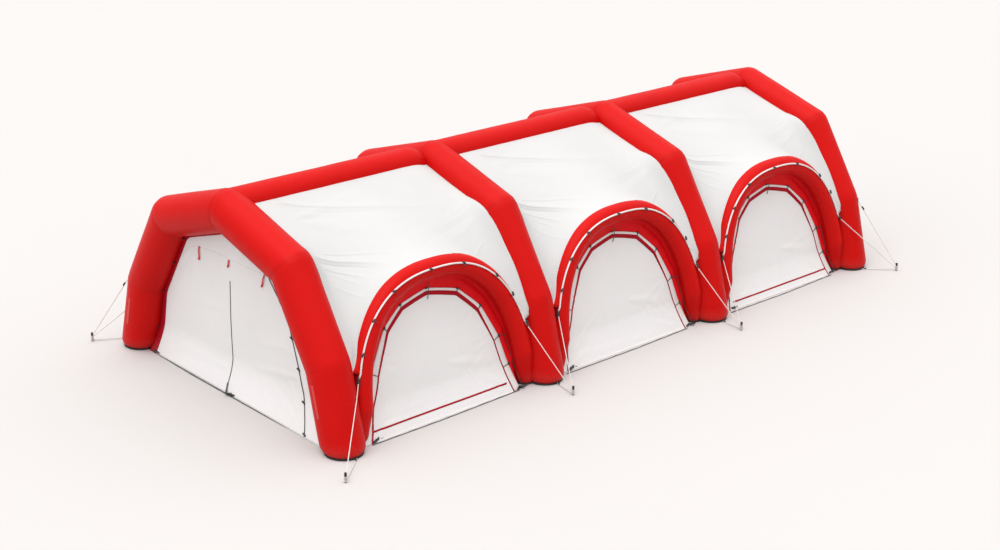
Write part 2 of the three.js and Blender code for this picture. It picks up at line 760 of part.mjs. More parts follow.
/** The rope along one side arch's hem, tied down to the pegs at both its ends. */
function edgeRope(bay, side) {
  const middle = (archX(bay) + archX(bay + 1)) / 2;
  const radius = SIDE.tube + ROPE.clear;
  const hem = hemPlaces().map((degrees) => (
    roundSide(degrees, hemAngle(degrees, ROOF.hemEnd), radius)
  ));
  const [start, end] = FITTINGS.map(({ at, angle }) => roundSide(at, radians(angle), radius));
  const route = [start, ...hem, end];
  route.forEach((p) => { p.x += middle; });
  const [next, previous] = [pegLoop(bay, side, LOOPS.next), pegLoop(bay + 1, side, LOOPS.previous)];
  const first = passingLeg(bay, start, next);
  const last = passingLeg(bay + 1, end, previous);
  return ropeAlong([ropeEnd(first, next), first, ...route, last, ropeEnd(last, previous)]);
}

/** A peg with the short guy that holds the pad down. */
function pegWithGuy(arch, side) {
  const foot = pegLoop(arch, side, 0);
  const pin = new THREE.CylinderGeometry(PEG.radius, PEG.radius, PEG.height, PEG.segments);
  pin.rotateX(Math.PI / 2).translate(foot.x, foot.y, PEG.height / 2);
  const { headRadius, headHeight } = PEG;
  const head = new THREE.CylinderGeometry(headRadius, headRadius, headHeight, PEG.segments);
  head.rotateX(Math.PI / 2).translate(foot.x, foot.y, PEG.height - headHeight / 2);
  const startY = -ARCH.footY - PAD.mainRadius - ROPE.radius - SEAT;
  const start = v3(archX(arch), startY, LOW_GUY.z);
  return join(pin, head, ropeAlong([start, pegLoop(arch, side, LOOPS.low)]));
}

/** An end arch's high guy, from its leg to the peg. */
function highGuy(arch, side, loopZ) {
  const start = onLeg(arch, Math.sign(archX(arch)), HIGH_GUY);
  return ropeAlong([start, ropeEnd(start, pegLoop(arch, side, loopZ))]);
}

// ---------------------------------------------------------------- the shelter

const shelter = new THREE.Group();

function place(name, geometry, material, x = 0) {
  const mesh = new THREE.Mesh(geometry, material);
  mesh.name = name;
  mesh.position.x = x;
  shelter.add(mesh);
}

const arch = mainArch();
const ridge = ridgeTube();
const roundArch = sideArch();
const reveal = skirt();
const wall = sideWall();
const endWall = gable();

for (let i = 0; i <= BAYS; i += 1) {
  place(`arch_${i + 1}`, arch, FINISH.airTube, archX(i));
  const sideFeet = [i > 0 ? -1 : 0, i < BAYS ? 1 : 0].filter((turn) => turn !== 0);
  for (const side of SIDES) {
    place(`pad_${side}_${i + 1}`, onSide(groundPad(sideFeet), side), FINISH.pad, archX(i));
    place(`peg_${side}_${i + 1}`, onSide(pegWithGuy(i, side), side), FINISH.peg);
  }
}

for (let bay = 0; bay < BAYS; bay += 1) {
  const middle = (archX(bay) + archX(bay + 1)) / 2;
  place(`ridge_${bay + 1}`, ridge, FINISH.airTube, middle);
  const roof = roofSheet(FOLD_CHANGES[bay]);
  for (const side of SIDES) {
    const name = `${side}_${bay + 1}`;
    place(`side_arch_${name}`, onSide(roundArch, side), FINISH.airTube, middle);
    place(`roof_${name}`, onSide(roof, side), FINISH.roofCloth, middle);
    place(`skirt_${name}`, onSide(reveal, side), FINISH.skirtCloth, middle);
    place(`wall_${name}`, onSide(wall, side), FINISH.wallCloth, middle);
    place(`edge_rope_${name}`, onSide(edgeRope(bay, side), side), FINISH.rope);
  }
}

for (const { arch: number, side, loop } of HIGH_GUYS) {
  const guy = onSide(highGuy(number, side, loop), side);
  place(`high_guy_${side}_${number + 1}`, guy, FINISH.rope);
}

place('gable_front', endWall, FINISH.wallCloth, archX(0));
const backWall = endWall.clone().rotateZ(Math.PI);
place('gable_back', backWall, FINISH.wallCloth, archX(BAYS));

export default shelter;
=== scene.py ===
"""The looks of an inflatable emergency shelter of three bays.

Everything is in metres. X runs along the ridge, the near side is at -Y, Z is up, and the
origin is on the ground under the middle of the shelter.
"""

import logging
import math
from dataclasses import dataclass, replace
from enum import Enum
from typing import Callable

import bpy
import numpy as np
from mathutils import Matrix, Vector


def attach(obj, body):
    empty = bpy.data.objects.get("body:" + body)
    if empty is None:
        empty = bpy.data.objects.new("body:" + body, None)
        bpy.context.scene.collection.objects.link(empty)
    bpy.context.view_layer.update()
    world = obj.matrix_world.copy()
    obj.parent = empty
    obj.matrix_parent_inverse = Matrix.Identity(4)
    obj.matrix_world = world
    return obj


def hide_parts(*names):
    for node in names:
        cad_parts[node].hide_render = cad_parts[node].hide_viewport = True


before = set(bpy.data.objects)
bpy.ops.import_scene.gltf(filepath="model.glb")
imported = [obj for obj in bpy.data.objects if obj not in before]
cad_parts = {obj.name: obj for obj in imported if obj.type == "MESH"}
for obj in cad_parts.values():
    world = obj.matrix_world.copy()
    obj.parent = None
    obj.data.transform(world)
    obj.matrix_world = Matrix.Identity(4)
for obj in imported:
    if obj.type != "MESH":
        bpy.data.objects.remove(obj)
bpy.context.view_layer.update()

LOG = logging.getLogger("shelter")

BAY = 4.0  # from one main arch to the next
BAYS = 3
PAD_TOP = 0.025
MAIN_TUBE = 0.33  # a main arch's tube, halved
FOOT_Y = 2.68  # from the ridge's line to the middle of a main arch's foot
PAD_RADIUS = 0.29
ALONG = np.array([1.0, 0.0, 0.0])
ACROSS = np.array([0.0, 1.0, 0.0])
UP = np.array([0.0, 0.0, 1.0])

Array = np.ndarray
Colour = tuple[float, float, float]
Spot = tuple[float, float]
Numbers = tuple[float, ...]
Piece = bpy.types.Object
Material = bpy.types.Material
Socket = bpy.types.NodeSocket


class Place(Enum):
    """A part of the shelter, with the sign of its Y or X."""

    @property
    def label(self) -> str:
        """Its word in the names of nodes and pieces."""
        return self.name.lower()


class Side(Place):
    """A long side of the shelter, with the sign of its Y."""

    NEAR = -1
    FAR = 1


class End(Place):
    """An end of the shelter, with the sign of its X."""

    FRONT = -1
    BACK = 1


class Band(Enum):
    """A strip of a side wall's edge, from the lacing inwards."""

    LACING = "lacing_strip"
    PIPING = "wall_piping"


def arch_x(number: int) -> float:
    """Where a main arch stands, counted from 0 at the front end."""
    return (number - BAYS / 2) * BAY


def bay_x(bay: int) -> float:
    """The middle of a bay."""
    return (arch_x(bay) + arch_x(bay + 1)) / 2


def mix(a: float | Array, b: float | Array, share: float | Array) -> float | Array:
    """Goes from a to b by a share."""
    return a + (b - a) * share


def unit(v: Array) -> Array:
    """The same direction with length 1."""
    return v / np.linalg.norm(v, axis=-1, keepdims=True)


def square(a: Array, b: Array) -> Array:
    """The outward direction of a leg from a to b, on the near side."""
    step = unit(b - a)
    return np.array([0.0, -step[2], step[1]])


def turns_round(count: int) -> Array:
    """Evenly spaced angles once round a circle."""
    return np.linspace(0, 2 * math.pi, count, endpoint=False)


def run_along(points: Array) -> Array:
    """How far each point of a path lies from its start."""
    return np.concatenate([[0], np.cumsum(np.linalg.norm(np.diff(points, axis=0), axis=1))])


# ---- shader expressions


def arithmetic(operation: str, turned: bool = False) -> Callable:
    """An operator of a Signal that adds one Math node; a turned one starts from the number."""

    def apply(one: "Signal", other: "Signal | float") -> "Signal":
        """Adds the node."""
        return one._math(operation, *((other, one) if turned else (one, other)))

    return apply


class Signal:
    """A number that varies over a surface, written as an expression."""

    def __init__(self, maker: "Maker", socket: Socket) -> None:
        """Wraps a node's output socket."""
        self.maker = maker
        self.socket = socket

    def _math(self, operation: str, *values: "Signal | float") -> "Signal":
        """The result of a new Math node with the values in its sockets, in order."""
        node = self.maker.node("ShaderNodeMath", {"operation": operation}, dict(enumerate(values)))
        return Signal(self.maker, node.outputs[0])

    __add__ = __radd__ = arithmetic("ADD")
    __mul__ = __rmul__ = arithmetic("MULTIPLY")
    __sub__, __rsub__ = arithmetic("SUBTRACT"), arithmetic("SUBTRACT", turned=True)
    __truediv__ = arithmetic("DIVIDE")
    __pow__ = arithmetic("POWER")

    def sine(self) -> "Signal":
        """The sine, of radians."""
        return self._math("SINE", self)

    def clamp(self) -> "Signal":
        """Cut to 0 to 1."""
        return self._math("MINIMUM", self._math("MAXIMUM", self, 0.0), 1.0)

    def ramp(self, low: float, high: float) -> "Signal":
        """Goes smoothly from 0 at low to 1 at high."""
        node = self.maker.node(
            "ShaderNodeMapRange",
            {"interpolation_type": "SMOOTHSTEP"},
            {"Value": self, "From Min": low, "From Max": high},
        )
        return Signal(self.maker, node.outputs[0])


class Maker:
    """Builds the nodes of one material round a Principled shader."""

    def __init__(self, name: str, **constants: float | Colour) -> None:
        """Starts a material.

        Args:
            name: the material's name.
            constants: values set on the shader's own sockets.
        """
        self.material = bpy.data.materials.new(name)
        self.material.use_nodes = True
        self.tree = self.material.node_tree
        self.tree.nodes.clear()
        output = self.node("ShaderNodeOutputMaterial")
        self.shader = self.node("ShaderNodeBsdfPrincipled")
        self.tree.links.new(self.shader.outputs[0], output.inputs["Surface"])
        for key, value in constants.items():
            self.feed(self.shader.inputs[key.replace("_", " ")], value)

    def node(
        self, kind: str, settings: dict | None = None, inputs: dict | None = None
    ) -> bpy.types.Node:
        """Adds one node.

        Args:
            kind: the node's type.
            settings: its properties, set first.
            inputs: a value, socket or Signal for each of its sockets.

        Returns:
            The node.
        """
        made = self.tree.nodes.new(kind)
        for key, value in (settings or {}).items():
            setattr(made, key, value)
        for key, value in (inputs or {}).items():
            self.feed(made.inputs[key], value)
        return made

    def feed(self, socket: Socket, value: object) -> None:
        """Sets a socket, or links it to a Signal or another socket."""
        if isinstance(value, Signal):
            value = value.socket
        if isinstance(value, Socket):
            self.tree.links.new(value, socket)
        elif isinstance(value, tuple) and len(value) == 3 and socket.type == "RGBA":
            socket.default_value = (*value, 1.0)
        else:
            socket.default_value = value

    def place(self) -> Socket:
        """The place in the shelter's own frame."""
        return self.node("ShaderNodeTexCoord").outputs["Object"]

    def split(self, place: str) -> list[Signal]:
        """The three numbers of a kind of place."""
        node = self.node("ShaderNodeTexCoord")
        split = self.node("ShaderNodeSeparateXYZ", inputs={0: node.outputs[place]})
        return [Signal(self, output) for output in split.outputs]

    def height(self) -> Signal:
        """The height above the ground."""
        return self.split("Object")[2]

    def flat(self) -> list[Signal]:
        """The two directions on the cloth, in metres."""
        return self.split("UV")[:2]

    def named(self, attribute: str) -> Signal:
        """A number stored on the mesh's points."""
        node = self.node("ShaderNodeAttribute", {"attribute_name": attribute})
        return Signal(self, node.outputs["Fac"])

    def noise(self, scale: float, detail: float = 3.0, roughness: float = 0.5) -> Signal:
        """Soft noise through the shelter's own frame, 0 to 1.

        Args:
            scale: blotches to a metre.
            detail: how many finer layers it has.
            roughness: how strong the finer layers are.

        Returns:
            The noise.
        """
        inputs = {"Scale": scale, "Detail": detail, "Roughness": roughness}
        node = self.node("ShaderNodeTexNoise", {}, {"Vector": self.place(), **inputs})
        return Signal(self, node.outputs["Fac"])

    def blend(self, share: Signal, a: Colour | Socket, b: Colour) -> Socket:
        """Mixes two colours by a share."""
        node = self.node("ShaderNodeMix", {"data_type": "RGBA"}, {0: share, 6: a, 7: b})
        return node.outputs[2]

    def colour(self, value: Socket) -> None:
        """Sets what varies the base colour."""
        self.feed(self.shader.inputs["Base Color"], value)

    def roughness(self, value: Signal) -> None:
        """Sets what varies the roughness."""
        self.feed(self.shader.inputs["Roughness"], value)

    def relief(self, height: Signal, depth: float) -> None:
        """Raises the surface by a height of 0 to 1 times a depth in metres."""
        node = self.node(
            "ShaderNodeBump", inputs={"Height": height, "Distance": depth, "Strength": 1.0}
        )
        self.feed(self.shader.inputs["Normal"], node.outputs[0])


class SkyMaker(Maker):
    """Builds the nodes of the surroundings, bright overhead and dim low down."""

    def __init__(self, name: str) -> None:
        """Starts the surroundings and makes them the scene's own."""
        world = bpy.data.worlds.new(name)
        world.use_nodes = True
        self.tree = world.node_tree
        self.shader = self.tree.nodes["Background"]
        bpy.context.scene.world = world

    def height(self) -> Signal:
        """How high each direction points, from -1 to 1."""
        return self.split("Generated")[2]


# ---- finishes


SOIL = (0.3, 0.26, 0.24)


@dataclass(frozen=True)
class Fold:
    """One long crease of a taut sheet, across from its middle and down from its top, in metres."""

    start: Spot
    end: Spot
    width: float = 0.03
    rise: float = 0.003
    bow: float = 0.0

    def height(self, across: Signal, down: Signal) -> Signal:
        """How far the cloth rises at each place, in metres."""
        run = (self.end[0] - self.start[0], self.end[1] - self.start[1])
        length = math.hypot(*run)
        x, y = run[0] / length, run[1] / length
        a, d = across - self.start[0], down - self.start[1]
        held = ((a * x + d * y) / length).clamp()
        aside = d * x - a * y - held * (1 - held) * (4 * self.bow)
        near = aside / (held * (0.9 * self.width) + 0.55 * self.width)
        profile = (near * near + 1) ** -2.0
        return profile * held.ramp(0.0, 0.1) * (1 - held.ramp(0.3, 1.0)) * self.rise


@dataclass(frozen=True)
class CoatedCloth:
    """Coated shelter cloth with a fine weave, soft crinkles, darker welds and painted shade in the
    skirt's valley.
    """

    name: str
    colour: Colour
    worn: Colour
    roughness: float
    crinkle: float  # depth of the soft crinkles, in metres
    weave: float = 0.0015  # from one thread to the next
    gloss: float = 0.08
    folds: tuple[Fold, ...] = ()

    def make(self) -> Material:
        """Builds the material."""
        maker = Maker(self.name, Specular_IOR_Level=self.gloss)
        across, along = maker.flat()
        turn = 2 * math.pi / self.weave
        threads = (across * turn).sine() * (along * turn).sine()
        crinkles = maker.noise(5.0, 4.0, 0.55)
        blotches = maker.noise(0.9, 3.0)
        fine = maker.noise(60.0, 2.0)
        seam = maker.named("seam")
        share = (blotches * 0.7 + crinkles * 0.3).ramp(0.35, 0.75)
        tinted = maker.blend(share, self.colour, self.worn)
        dust = (1 - maker.height().ramp(0.0, 0.3)) * fine.ramp(0.3, 0.75) * 0.14
        dusty = maker.blend(dust, tinted, SOIL)
        # The seam marks darken the colour: real welds on the tubes, and painted shade in the
        # skirt's valley.
        weld_and_shade_dark = tuple(c * 0.62 for c in self.colour)
        maker.colour(maker.blend((seam * 0.45).clamp(), dusty, weld_and_shade_dark))
        maker.roughness(self.roughness + crinkles * 0.1 + fine * 0.06 - 0.08)
        grain = self.weave * 0.02
        height = crinkles + threads * (grain / self.crinkle) - seam * 0.12
        for fold in self.folds:
            height = height + fold.height(across, along) * (1 / self.crinkle)
        maker.relief(height, self.crinkle)
        return maker.material


@dataclass(frozen=True)
class Braid:
    """Braided cord with two crossing sets of strands, painted darker in the grooves between them.
    """

    name: str
    colour: Colour
    groove: Colour
    pitch: float = 0.012

    def make(self) -> Material:
        """Builds the material."""
        maker = Maker(self.name, Sheen_Weight=0.2)
        across, along = maker.flat()
        turn = 2 * math.pi / self.pitch
        strands = ((across + along) * turn).sine() * ((across - along) * turn).sine()
        lift = strands * 0.5 + 0.5
        dirt = maker.noise(3.0, 4.0)
        # Painted shade: darker where the strands dip, mixed with random tone from the dirt noise.
        share = (lift * 0.7 + dirt * 0.5).ramp(0.2, 0.8)
        maker.colour(maker.blend(share, self.groove, self.colour))
        maker.roughness(0.75 + dirt * 0.15)
        maker.relief(lift, 0.0006)
        return maker.material


@dataclass(frozen=True)
class Webbing:
    """Woven strap with ribs across it."""

    name: str
    colour: Colour
    worn: Colour
    rib: float = 0.003

    def make(self) -> Material:
        """Builds the material."""
        maker = Maker(self.name, Sheen_Weight=0.15)
        across, along = maker.flat()
        turn = 2 * math.pi / self.rib
        ribs = (along * turn).sine() * 0.5 + (across * (turn / 2)).sine() * 0.25 + 0.5
        wear = maker.noise(8.0, 4.0)
        maker.colour(maker.blend(wear.ramp(0.45, 0.8), self.colour, self.worn))
        maker.roughness(0.7 + wear * 0.2)
        maker.relief(ribs, 0.0004)
        return maker.material


@dataclass(frozen=True)
class Moulded:
    """Moulded plastic, rubber or painted steel with a fine grain and rubbed edges."""

    name: str
    colour: Colour
    rubbed: Colour
    roughness: float
    metallic: float = 0.0
    grain: float = 0.0003

    def make(self) -> Material:
        """Builds the material."""
        maker = Maker(self.name, Metallic=self.metallic)
        grain = maker.noise(220.0, 2.0)
        smears = maker.noise(12.0, 4.0)
        share = (smears * 0.8 + grain * 0.3).ramp(0.5, 0.85)
        maker.colour(maker.blend(share, self.colour, self.rubbed))
        maker.roughness(self.roughness + smears * 0.15 - 0.07)
        maker.relief(grain, self.grain)
        return maker.material


@dataclass(frozen=True)
class StudioFloor:
    """A plain pale studio floor."""

    name: str = "studio_floor"
    colour: Colour = (0.502, 0.488, 0.478)

    def make(self) -> Material:
        """Builds the material."""
        maker = Maker(self.name, Specular_IOR_Level=0.1)
        clouds = maker.noise(0.15, 2.0)
        maker.colour(maker.blend(clouds, self.colour, tuple(c * 0.985 for c in self.colour)))
        maker.roughness(0.9 + clouds * 0.05)
        return maker.material


ROOF_FOLDS = (
    Fold((-1.48, 0.04), (1.4, 0.98), 0.04, 0.01, 0.14),
    Fold((-1.3, 0.28), (0.9, 0.96), 0.03, -0.003, 0.1),
    Fold((-1.62, 1.3), (-0.3, 2.14), 0.04, 0.014, -0.13),
    Fold((-1.6, 1.4), (-0.56, 2.08), 0.03, -0.008, -0.11),
    Fold((-1.55, 1.5), (-0.8, 2.14), 0.03, 0.008, -0.08),
    Fold((-1.45, 1.22), (0.1, 2.04), 0.03, 0.006, -0.1),
    Fold((-1.5, 1.62), (-1.0, 2.2), 0.025, 0.004, -0.06),
    Fold((1.75, 1.2), (-0.7, 1.9), 0.06, 0.0035, 0.1),
    Fold((1.72, 1.3), (-0.3, 2.0), 0.05, -0.0025, 0.08),
    Fold((1.7, 1.42), (0.1, 2.06), 0.055, 0.003, 0.06),
    Fold((1.74, 1.08), (0.2, 1.5), 0.05, 0.0025, 0.04),
    Fold((-1.6, 1.8), (-1.1, 2.4), 0.03, 0.005, -0.04),
    Fold((1.6, 1.8), (1.0, 2.25), 0.03, 0.004, 0.04),
    Fold((-1.35, 0.9), (1.4, 1.15), 0.03, 0.0015, 0.03),
)
WALL_FOLDS = (
    Fold((-0.9, 0.1), (0.1, 1.3), 0.03, 0.002), Fold((0.9, 0.1), (0.2, 1.2), 0.03, 0.002),
    Fold((-1.25, 1.2), (-0.2, 0.9), 0.03, 0.0015), Fold((1.2, 1.1), (0.3, 1.5), 0.03, 0.0015),
)


class Finishes:
    """Every finish of the shelter, made once."""

    def __init__(self) -> None:
        """Makes the materials."""
        recipes = [
            CoatedCloth("air_tube_cloth", (0.49, 0.004, 0.003), (0.46, 0.003, 0.002), 0.42, 0.004),
            # Painted light: the skirt is the tube's red cloth made lighter, to offset the shade of
            # its recess.
            CoatedCloth("skirt_cloth", (0.60, 0.004, 0.007), (0.56, 0.003, 0.006), 0.5, 0.005),
            # Painted light and shade: roof and walls are one white cloth, the roof made darker and
            # the walls lighter for how light falls on them.
            CoatedCloth(
                "roof_cloth", (0.505, 0.505, 0.5), (0.49, 0.49, 0.486), 0.55, 0.004,
                folds=ROOF_FOLDS,
            ),
            CoatedCloth(
                "wall_cloth", (0.68, 0.672, 0.67), (0.66, 0.652, 0.65), 0.6, 0.004,
                folds=WALL_FOLDS,
            ),
            CoatedCloth("piping_cloth", (0.33, 0.003, 0.012), (0.3, 0.003, 0.01), 0.5, 0.002),
            CoatedCloth("lacing_cloth", (0.66, 0.64, 0.63), (0.6, 0.57, 0.56), 0.6, 0.002),
            CoatedCloth("label_cloth", (0.56, 0.06, 0.055), (0.5, 0.05, 0.05), 0.45, 0.001),
            Braid("rope_braid", (0.66, 0.62, 0.6), (0.46, 0.42, 0.4)),
            Braid("tie_braid", (0.03, 0.03, 0.03), (0.01, 0.01, 0.01), 0.006),
            Webbing("ground_webbing", (0.03, 0.03, 0.032), (0.09, 0.085, 0.08)),
            Webbing("pull_webbing", (0.6, 0.02, 0.03), (0.5, 0.02, 0.03)),
            Moulded("toggle_plastic", (0.015, 0.015, 0.016), (0.05, 0.05, 0.05), 0.42),
            Moulded("pad_rubber", (0.016, 0.016, 0.017), (0.05, 0.045, 0.04), 0.75),
            Moulded("peg_steel", (0.012, 0.012, 0.013), (0.05, 0.048, 0.045), 0.5),
            Moulded("zip_plastic", (0.05, 0.05, 0.05), (0.12, 0.12, 0.12), 0.45),
        ]
        self.made = {recipe.name: recipe.make() for recipe in recipes}

    def __getitem__(self, name: str) -> Material:
        """A material by name."""
        return self.made[name]


def dressed(piece: Piece, node: str | None = None) -> Piece:
    """Gives a piece its body and the solid that it replaces.

    Args:
        piece: the piece.
        node: the solid, if it replaces one.

    Returns:
        The piece.
    """
    if node is not None:
        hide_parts(node)
    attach(piece, "root")
    return piece


# ---- meshes


@dataclass
class Surface:
    """Points, faces and cloth directions that become one mesh."""

    points: Array
    faces: list[tuple[int, ...]]
    flat: Array | None = None
    rims: int = 0  # how many of the last faces are flat rims
    # how much each point is darkened: welds, and painted shade in the skirt's valley
    seam: Array | None = None

    def mirrored(self, side: Side) -> "Surface":
        """The same surface on a long side, from the near one."""
        if side is Side.NEAR:
            return self
        return replace(self.turned(), points=self.points * [1.0, -1.0, 1.0])

    def turned(self) -> "Surface":
        """The same surface with its faces turned inside out."""
        return replace(self, faces=[face[::-1] for face in self.faces])

    def moved(self, x: float) -> "Surface":
        """The same surface further along the ridge."""
        return replace(self, points=self.points + [x, 0.0, 0.0])

    @staticmethod
    def joined(parts: list["Surface"]) -> "Surface":
        """Several surfaces side by side in one mesh."""
        if len(parts) == 1:
            return parts[0]
        faces, count = [], 0
        for part in parts:
            faces += [tuple(i + count for i in face) for face in part.faces]
            count += len(part.points)
        return Surface(
            np.vstack([part.points for part in parts]), faces,
            np.vstack([part.flat for part in parts]),
        )

    def build(
        self, name: str, materials: list[Material], choose: Callable | None = None
    ) -> Piece:
        """Makes the mesh object.

        Args:
            name: the piece's name.
            materials: its materials.
            choose: gives a face's material from the face's number.

        Returns:
            The object, linked to the scene.
        """
        mesh = bpy.data.meshes.new(name)
        mesh.from_pydata(self.points.tolist(), [], self.faces)
        smooth = np.ones(len(self.faces), bool)
        if self.rims:
            smooth[-self.rims:] = False
        mesh.polygons.foreach_set("use_smooth", smooth)
        if self.flat is not None:
            layer = mesh.uv_layers.new(name="cloth")
            corners = np.empty(len(mesh.loops), np.int32)
            mesh.loops.foreach_get("vertex_index", corners)
            layer.data.foreach_set("uv", self.flat[corners].ravel())
        if self.seam is not None:
            store = mesh.attributes.new("seam", "FLOAT", "POINT")
            store.data.foreach_set("value", self.seam.astype(np.float32))
        for material in materials:
            mesh.materials.append(material)
        if choose is not None:
            picks = [choose(i) for i in range(len(self.faces))]
            mesh.polygons.foreach_set("material_index", picks)
        mesh.update()
        piece = bpy.data.objects.new(name, mesh)
        bpy.context.scene.collection.objects.link(piece)
        return piece


def grid_faces(rows: int, columns: int, wrap: bool = False) -> list[tuple[int, ...]]:
    """Quads between the points of a grid.

    Args:
        rows: how many rows it has.
        columns: the points in a row.
        wrap: whether each row is closed.

    Returns:
        Each quad's corners.
    """
    faces = []
    for r in range(rows - 1):
        for c in range(columns if wrap else columns - 1):
            nxt = (c + 1) % columns
            a, b = r * columns + c, r * columns + nxt
            faces.append((a, b, b + columns, a + columns))
    return faces


def grid_normals(grid: Array) -> Array:
    """The normal at each point of a grid."""
    down, along = np.gradient(grid, axis=0), np.gradient(grid, axis=1)
    return unit(np.cross(along, down))


def grid_lengths(grid: Array) -> Array:
    """How far each point of a grid lies along its row and down its column."""
    steps = np.linalg.norm(np.diff(grid, axis=1), axis=2)
    along = np.hstack([np.zeros((len(grid), 1)), np.cumsum(steps, axis=1)])
    along -= along[:, -1:] / 2
    steps = np.linalg.norm(np.diff(grid, axis=0), axis=2)
    down = np.vstack([np.zeros((1, grid.shape[1])), np.cumsum(steps, axis=0)])
    return np.dstack([along, down])


def tube_surface(rings: Array, seam: Array | None = None) -> Surface:
    """A closed tube through rings of points.

    Args:
        rings: rows of ring points, from one end to the other.
        seam: how much each ring lies on a weld, 0 to 1.

    Returns:
        The tube with both ends closed.
    """
    count, sides = rings.shape[:2]
    points = rings.reshape(-1, 3)
    middles = rings.mean(axis=1)
    ends = np.array([middles[0], middles[-1]])
    faces = grid_faces(count, sides, wrap=True)
    near, far = count * sides, count * sides + 1
    for s in range(sides):
        nxt = (s + 1) % sides
        faces.append((near, nxt, s))
        faces.append((far, (count - 1) * sides + s, (count - 1) * sides + nxt))
    run = run_along(middles)
    radius = np.linalg.norm(rings[count // 2] - middles[count // 2], axis=1).mean()
    around = np.abs(np.linspace(-1, 1, sides, endpoint=False)) * math.pi * radius
    flat = np.dstack(np.broadcast_arrays(around, run[:, None])).reshape(-1, 2)
    flat = np.vstack([flat, [[0, run[0]], [0, run[-1]]]])
    marks = None
    if seam is not None:
        marks = np.append(np.repeat(seam, sides), [0.0, 0.0])
    return oriented(Surface(np.vstack([points, ends]), faces, flat, 0, marks))


def oriented(surface: Surface) -> Surface:
    """The surface with its faces turned so that a closed one faces outwards."""
    p = surface.points
    total = 0.0
    for count in {len(face) for face in surface.faces}:
        corners = p[np.array([face for face in surface.faces if len(face) == count])]
        for i in range(1, count - 1):
            turn = np.cross(corners[:, i], corners[:, i + 1])
            total += float(np.sum(corners[:, 0] * turn))
    return surface if total >= 0 else surface.turned()


def sheet_surface(grid: Array, thickness: float = 0.003, lengths: Array | None = None) -> Surface:
    """A closed sheet of cloth through the points of a grid.

    Args:
        grid: the points of its middle, in rows.
        thickness: the cloth's thickness.
        lengths: where each point lies on the flat cloth, or None to measure it.

    Returns:
        Two faces and a rim.
    """
    rows, columns = grid.shape[:2]
    normals = grid_normals(grid)
    top = grid + normals * thickness / 2
    under = grid - normals * thickness / 2
    count = rows * columns
    faces = grid_faces(rows, columns)
    faces = [face[::-1] for face in faces] + [tuple(i + count for i in face) for face in faces]
    at = np.arange(count).reshape(rows, columns)
    rim = np.concatenate([at[0], at[1:, -1], at[-1, -2::-1], at[-2:0:-1, 0]]).tolist()
    for a, b in zip(rim, rim[1:] + rim[:1]):
        faces.append((a, b, b + count, a + count))
    flat = (grid_lengths(grid) if lengths is None else lengths).reshape(-1, 2)
    points = np.vstack([top.reshape(-1, 3), under.reshape(-1, 3)])
    return oriented(Surface(points, faces, np.vstack([flat, flat]), len(rim)))


def patch_grid(left: Array, right: Array, high: Array) -> Array:
    """A grid between two edges that rise from a straight one to a shaped one.

    Args:
        left: the first points of its rows.
        right: the last points of its rows.
        high: its top row.

    Returns:
        The points, in rows from the bottom up.
    """
    across = np.linspace(0, 1, len(high))[None, :, None]
    up = np.linspace(0, 1, len(left))[:, None, None]
    sides = left[:, None] * (1 - across) + right[:, None] * across
    return sides + (high - mix(high[0], high[-1], across)) * up


def path_frames(path: Array) -> tuple[Array, Array, Array]:
    """The direction and two square directions at each point of a path, without twist."""
    ahead = unit(np.gradient(path, axis=0))
    one, ones = UP if abs(ahead[0, 2]) < 0.9 else ALONG, []
    for direction in ahead:
        one = unit(one - direction * np.dot(one, direction))
        ones.append(one)
    ones = np.array(ones)
    return ahead, ones, np.cross(ahead, ones)


def rope_surface(path: Array, radius: float | Array, sides: int = 10) -> Surface:
    """A round cord along a path.

    Args:
        path: its middle.
        radius: its radius, or one for each point.
        sides: how many sides it has.

    Returns:
        The closed cord.
    """
    _, one, two = path_frames(path)
    angles = turns_round(sides)[:, None]
    wide = np.broadcast_to(np.asarray(radius, float), (len(path),))[:, None, None]
    arms = one[:, None] * np.cos(angles) + two[:, None] * np.sin(angles)
    return tube_surface(path[:, None] + arms * wide)


def strap_surface(path: Array, across: Array, width: float | Array, thickness: float) -> Surface:
    """A flat strap along a path.

    Args:
        path: its middle line.
        across: the direction of its width at each point, or one for all.
        width: its width.
        thickness: its thickness.

    Returns:
        A closed strap with softly rounded edges.
    """
    ahead = unit(np.gradient(path, axis=0))
    across = np.broadcast_to(across, path.shape)
    across = unit(across - ahead * np.sum(across * ahead, axis=1, keepdims=True))
    up = np.cross(ahead, across)
    half = np.broadcast_to(np.asarray(width, float), (len(path),))[:, None] / 2
    outline = [(-1, -0.25), (-0.96, -0.5), (0.96, -0.5), (1, -0.25),
               (1, 0.25), (0.96, 0.5), (-0.96, 0.5), (-1, 0.25)]
    rings = np.stack([path + across * half * a + up * thickness * b for a, b in outline], axis=1)
    return tube_surface(rings)


def smooth_path(points: Array, step: float, passes: int = 0) -> Array:
    """Points at even steps along a path, with its corners eased.

    Args:
        points: the path's corners.
        step: the distance from one new point to the next.
        passes: how often the corners are eased.

    Returns:
        The new points; the two ends stay.
    """
    points = np.asarray(points, float)
    run = run_along(points)
    count = max(2, int(round(run[-1] / step)) + 1)
    at = np.linspace(0, run[-1], count)
    path = np.stack([np.interp(at, run, points[:, k]) for k in range(3)], axis=1)
    for _ in range(passes):
        path[1:-1] = (path[:-2] + 2 * path[1:-1] + path[2:]) / 4
    return path


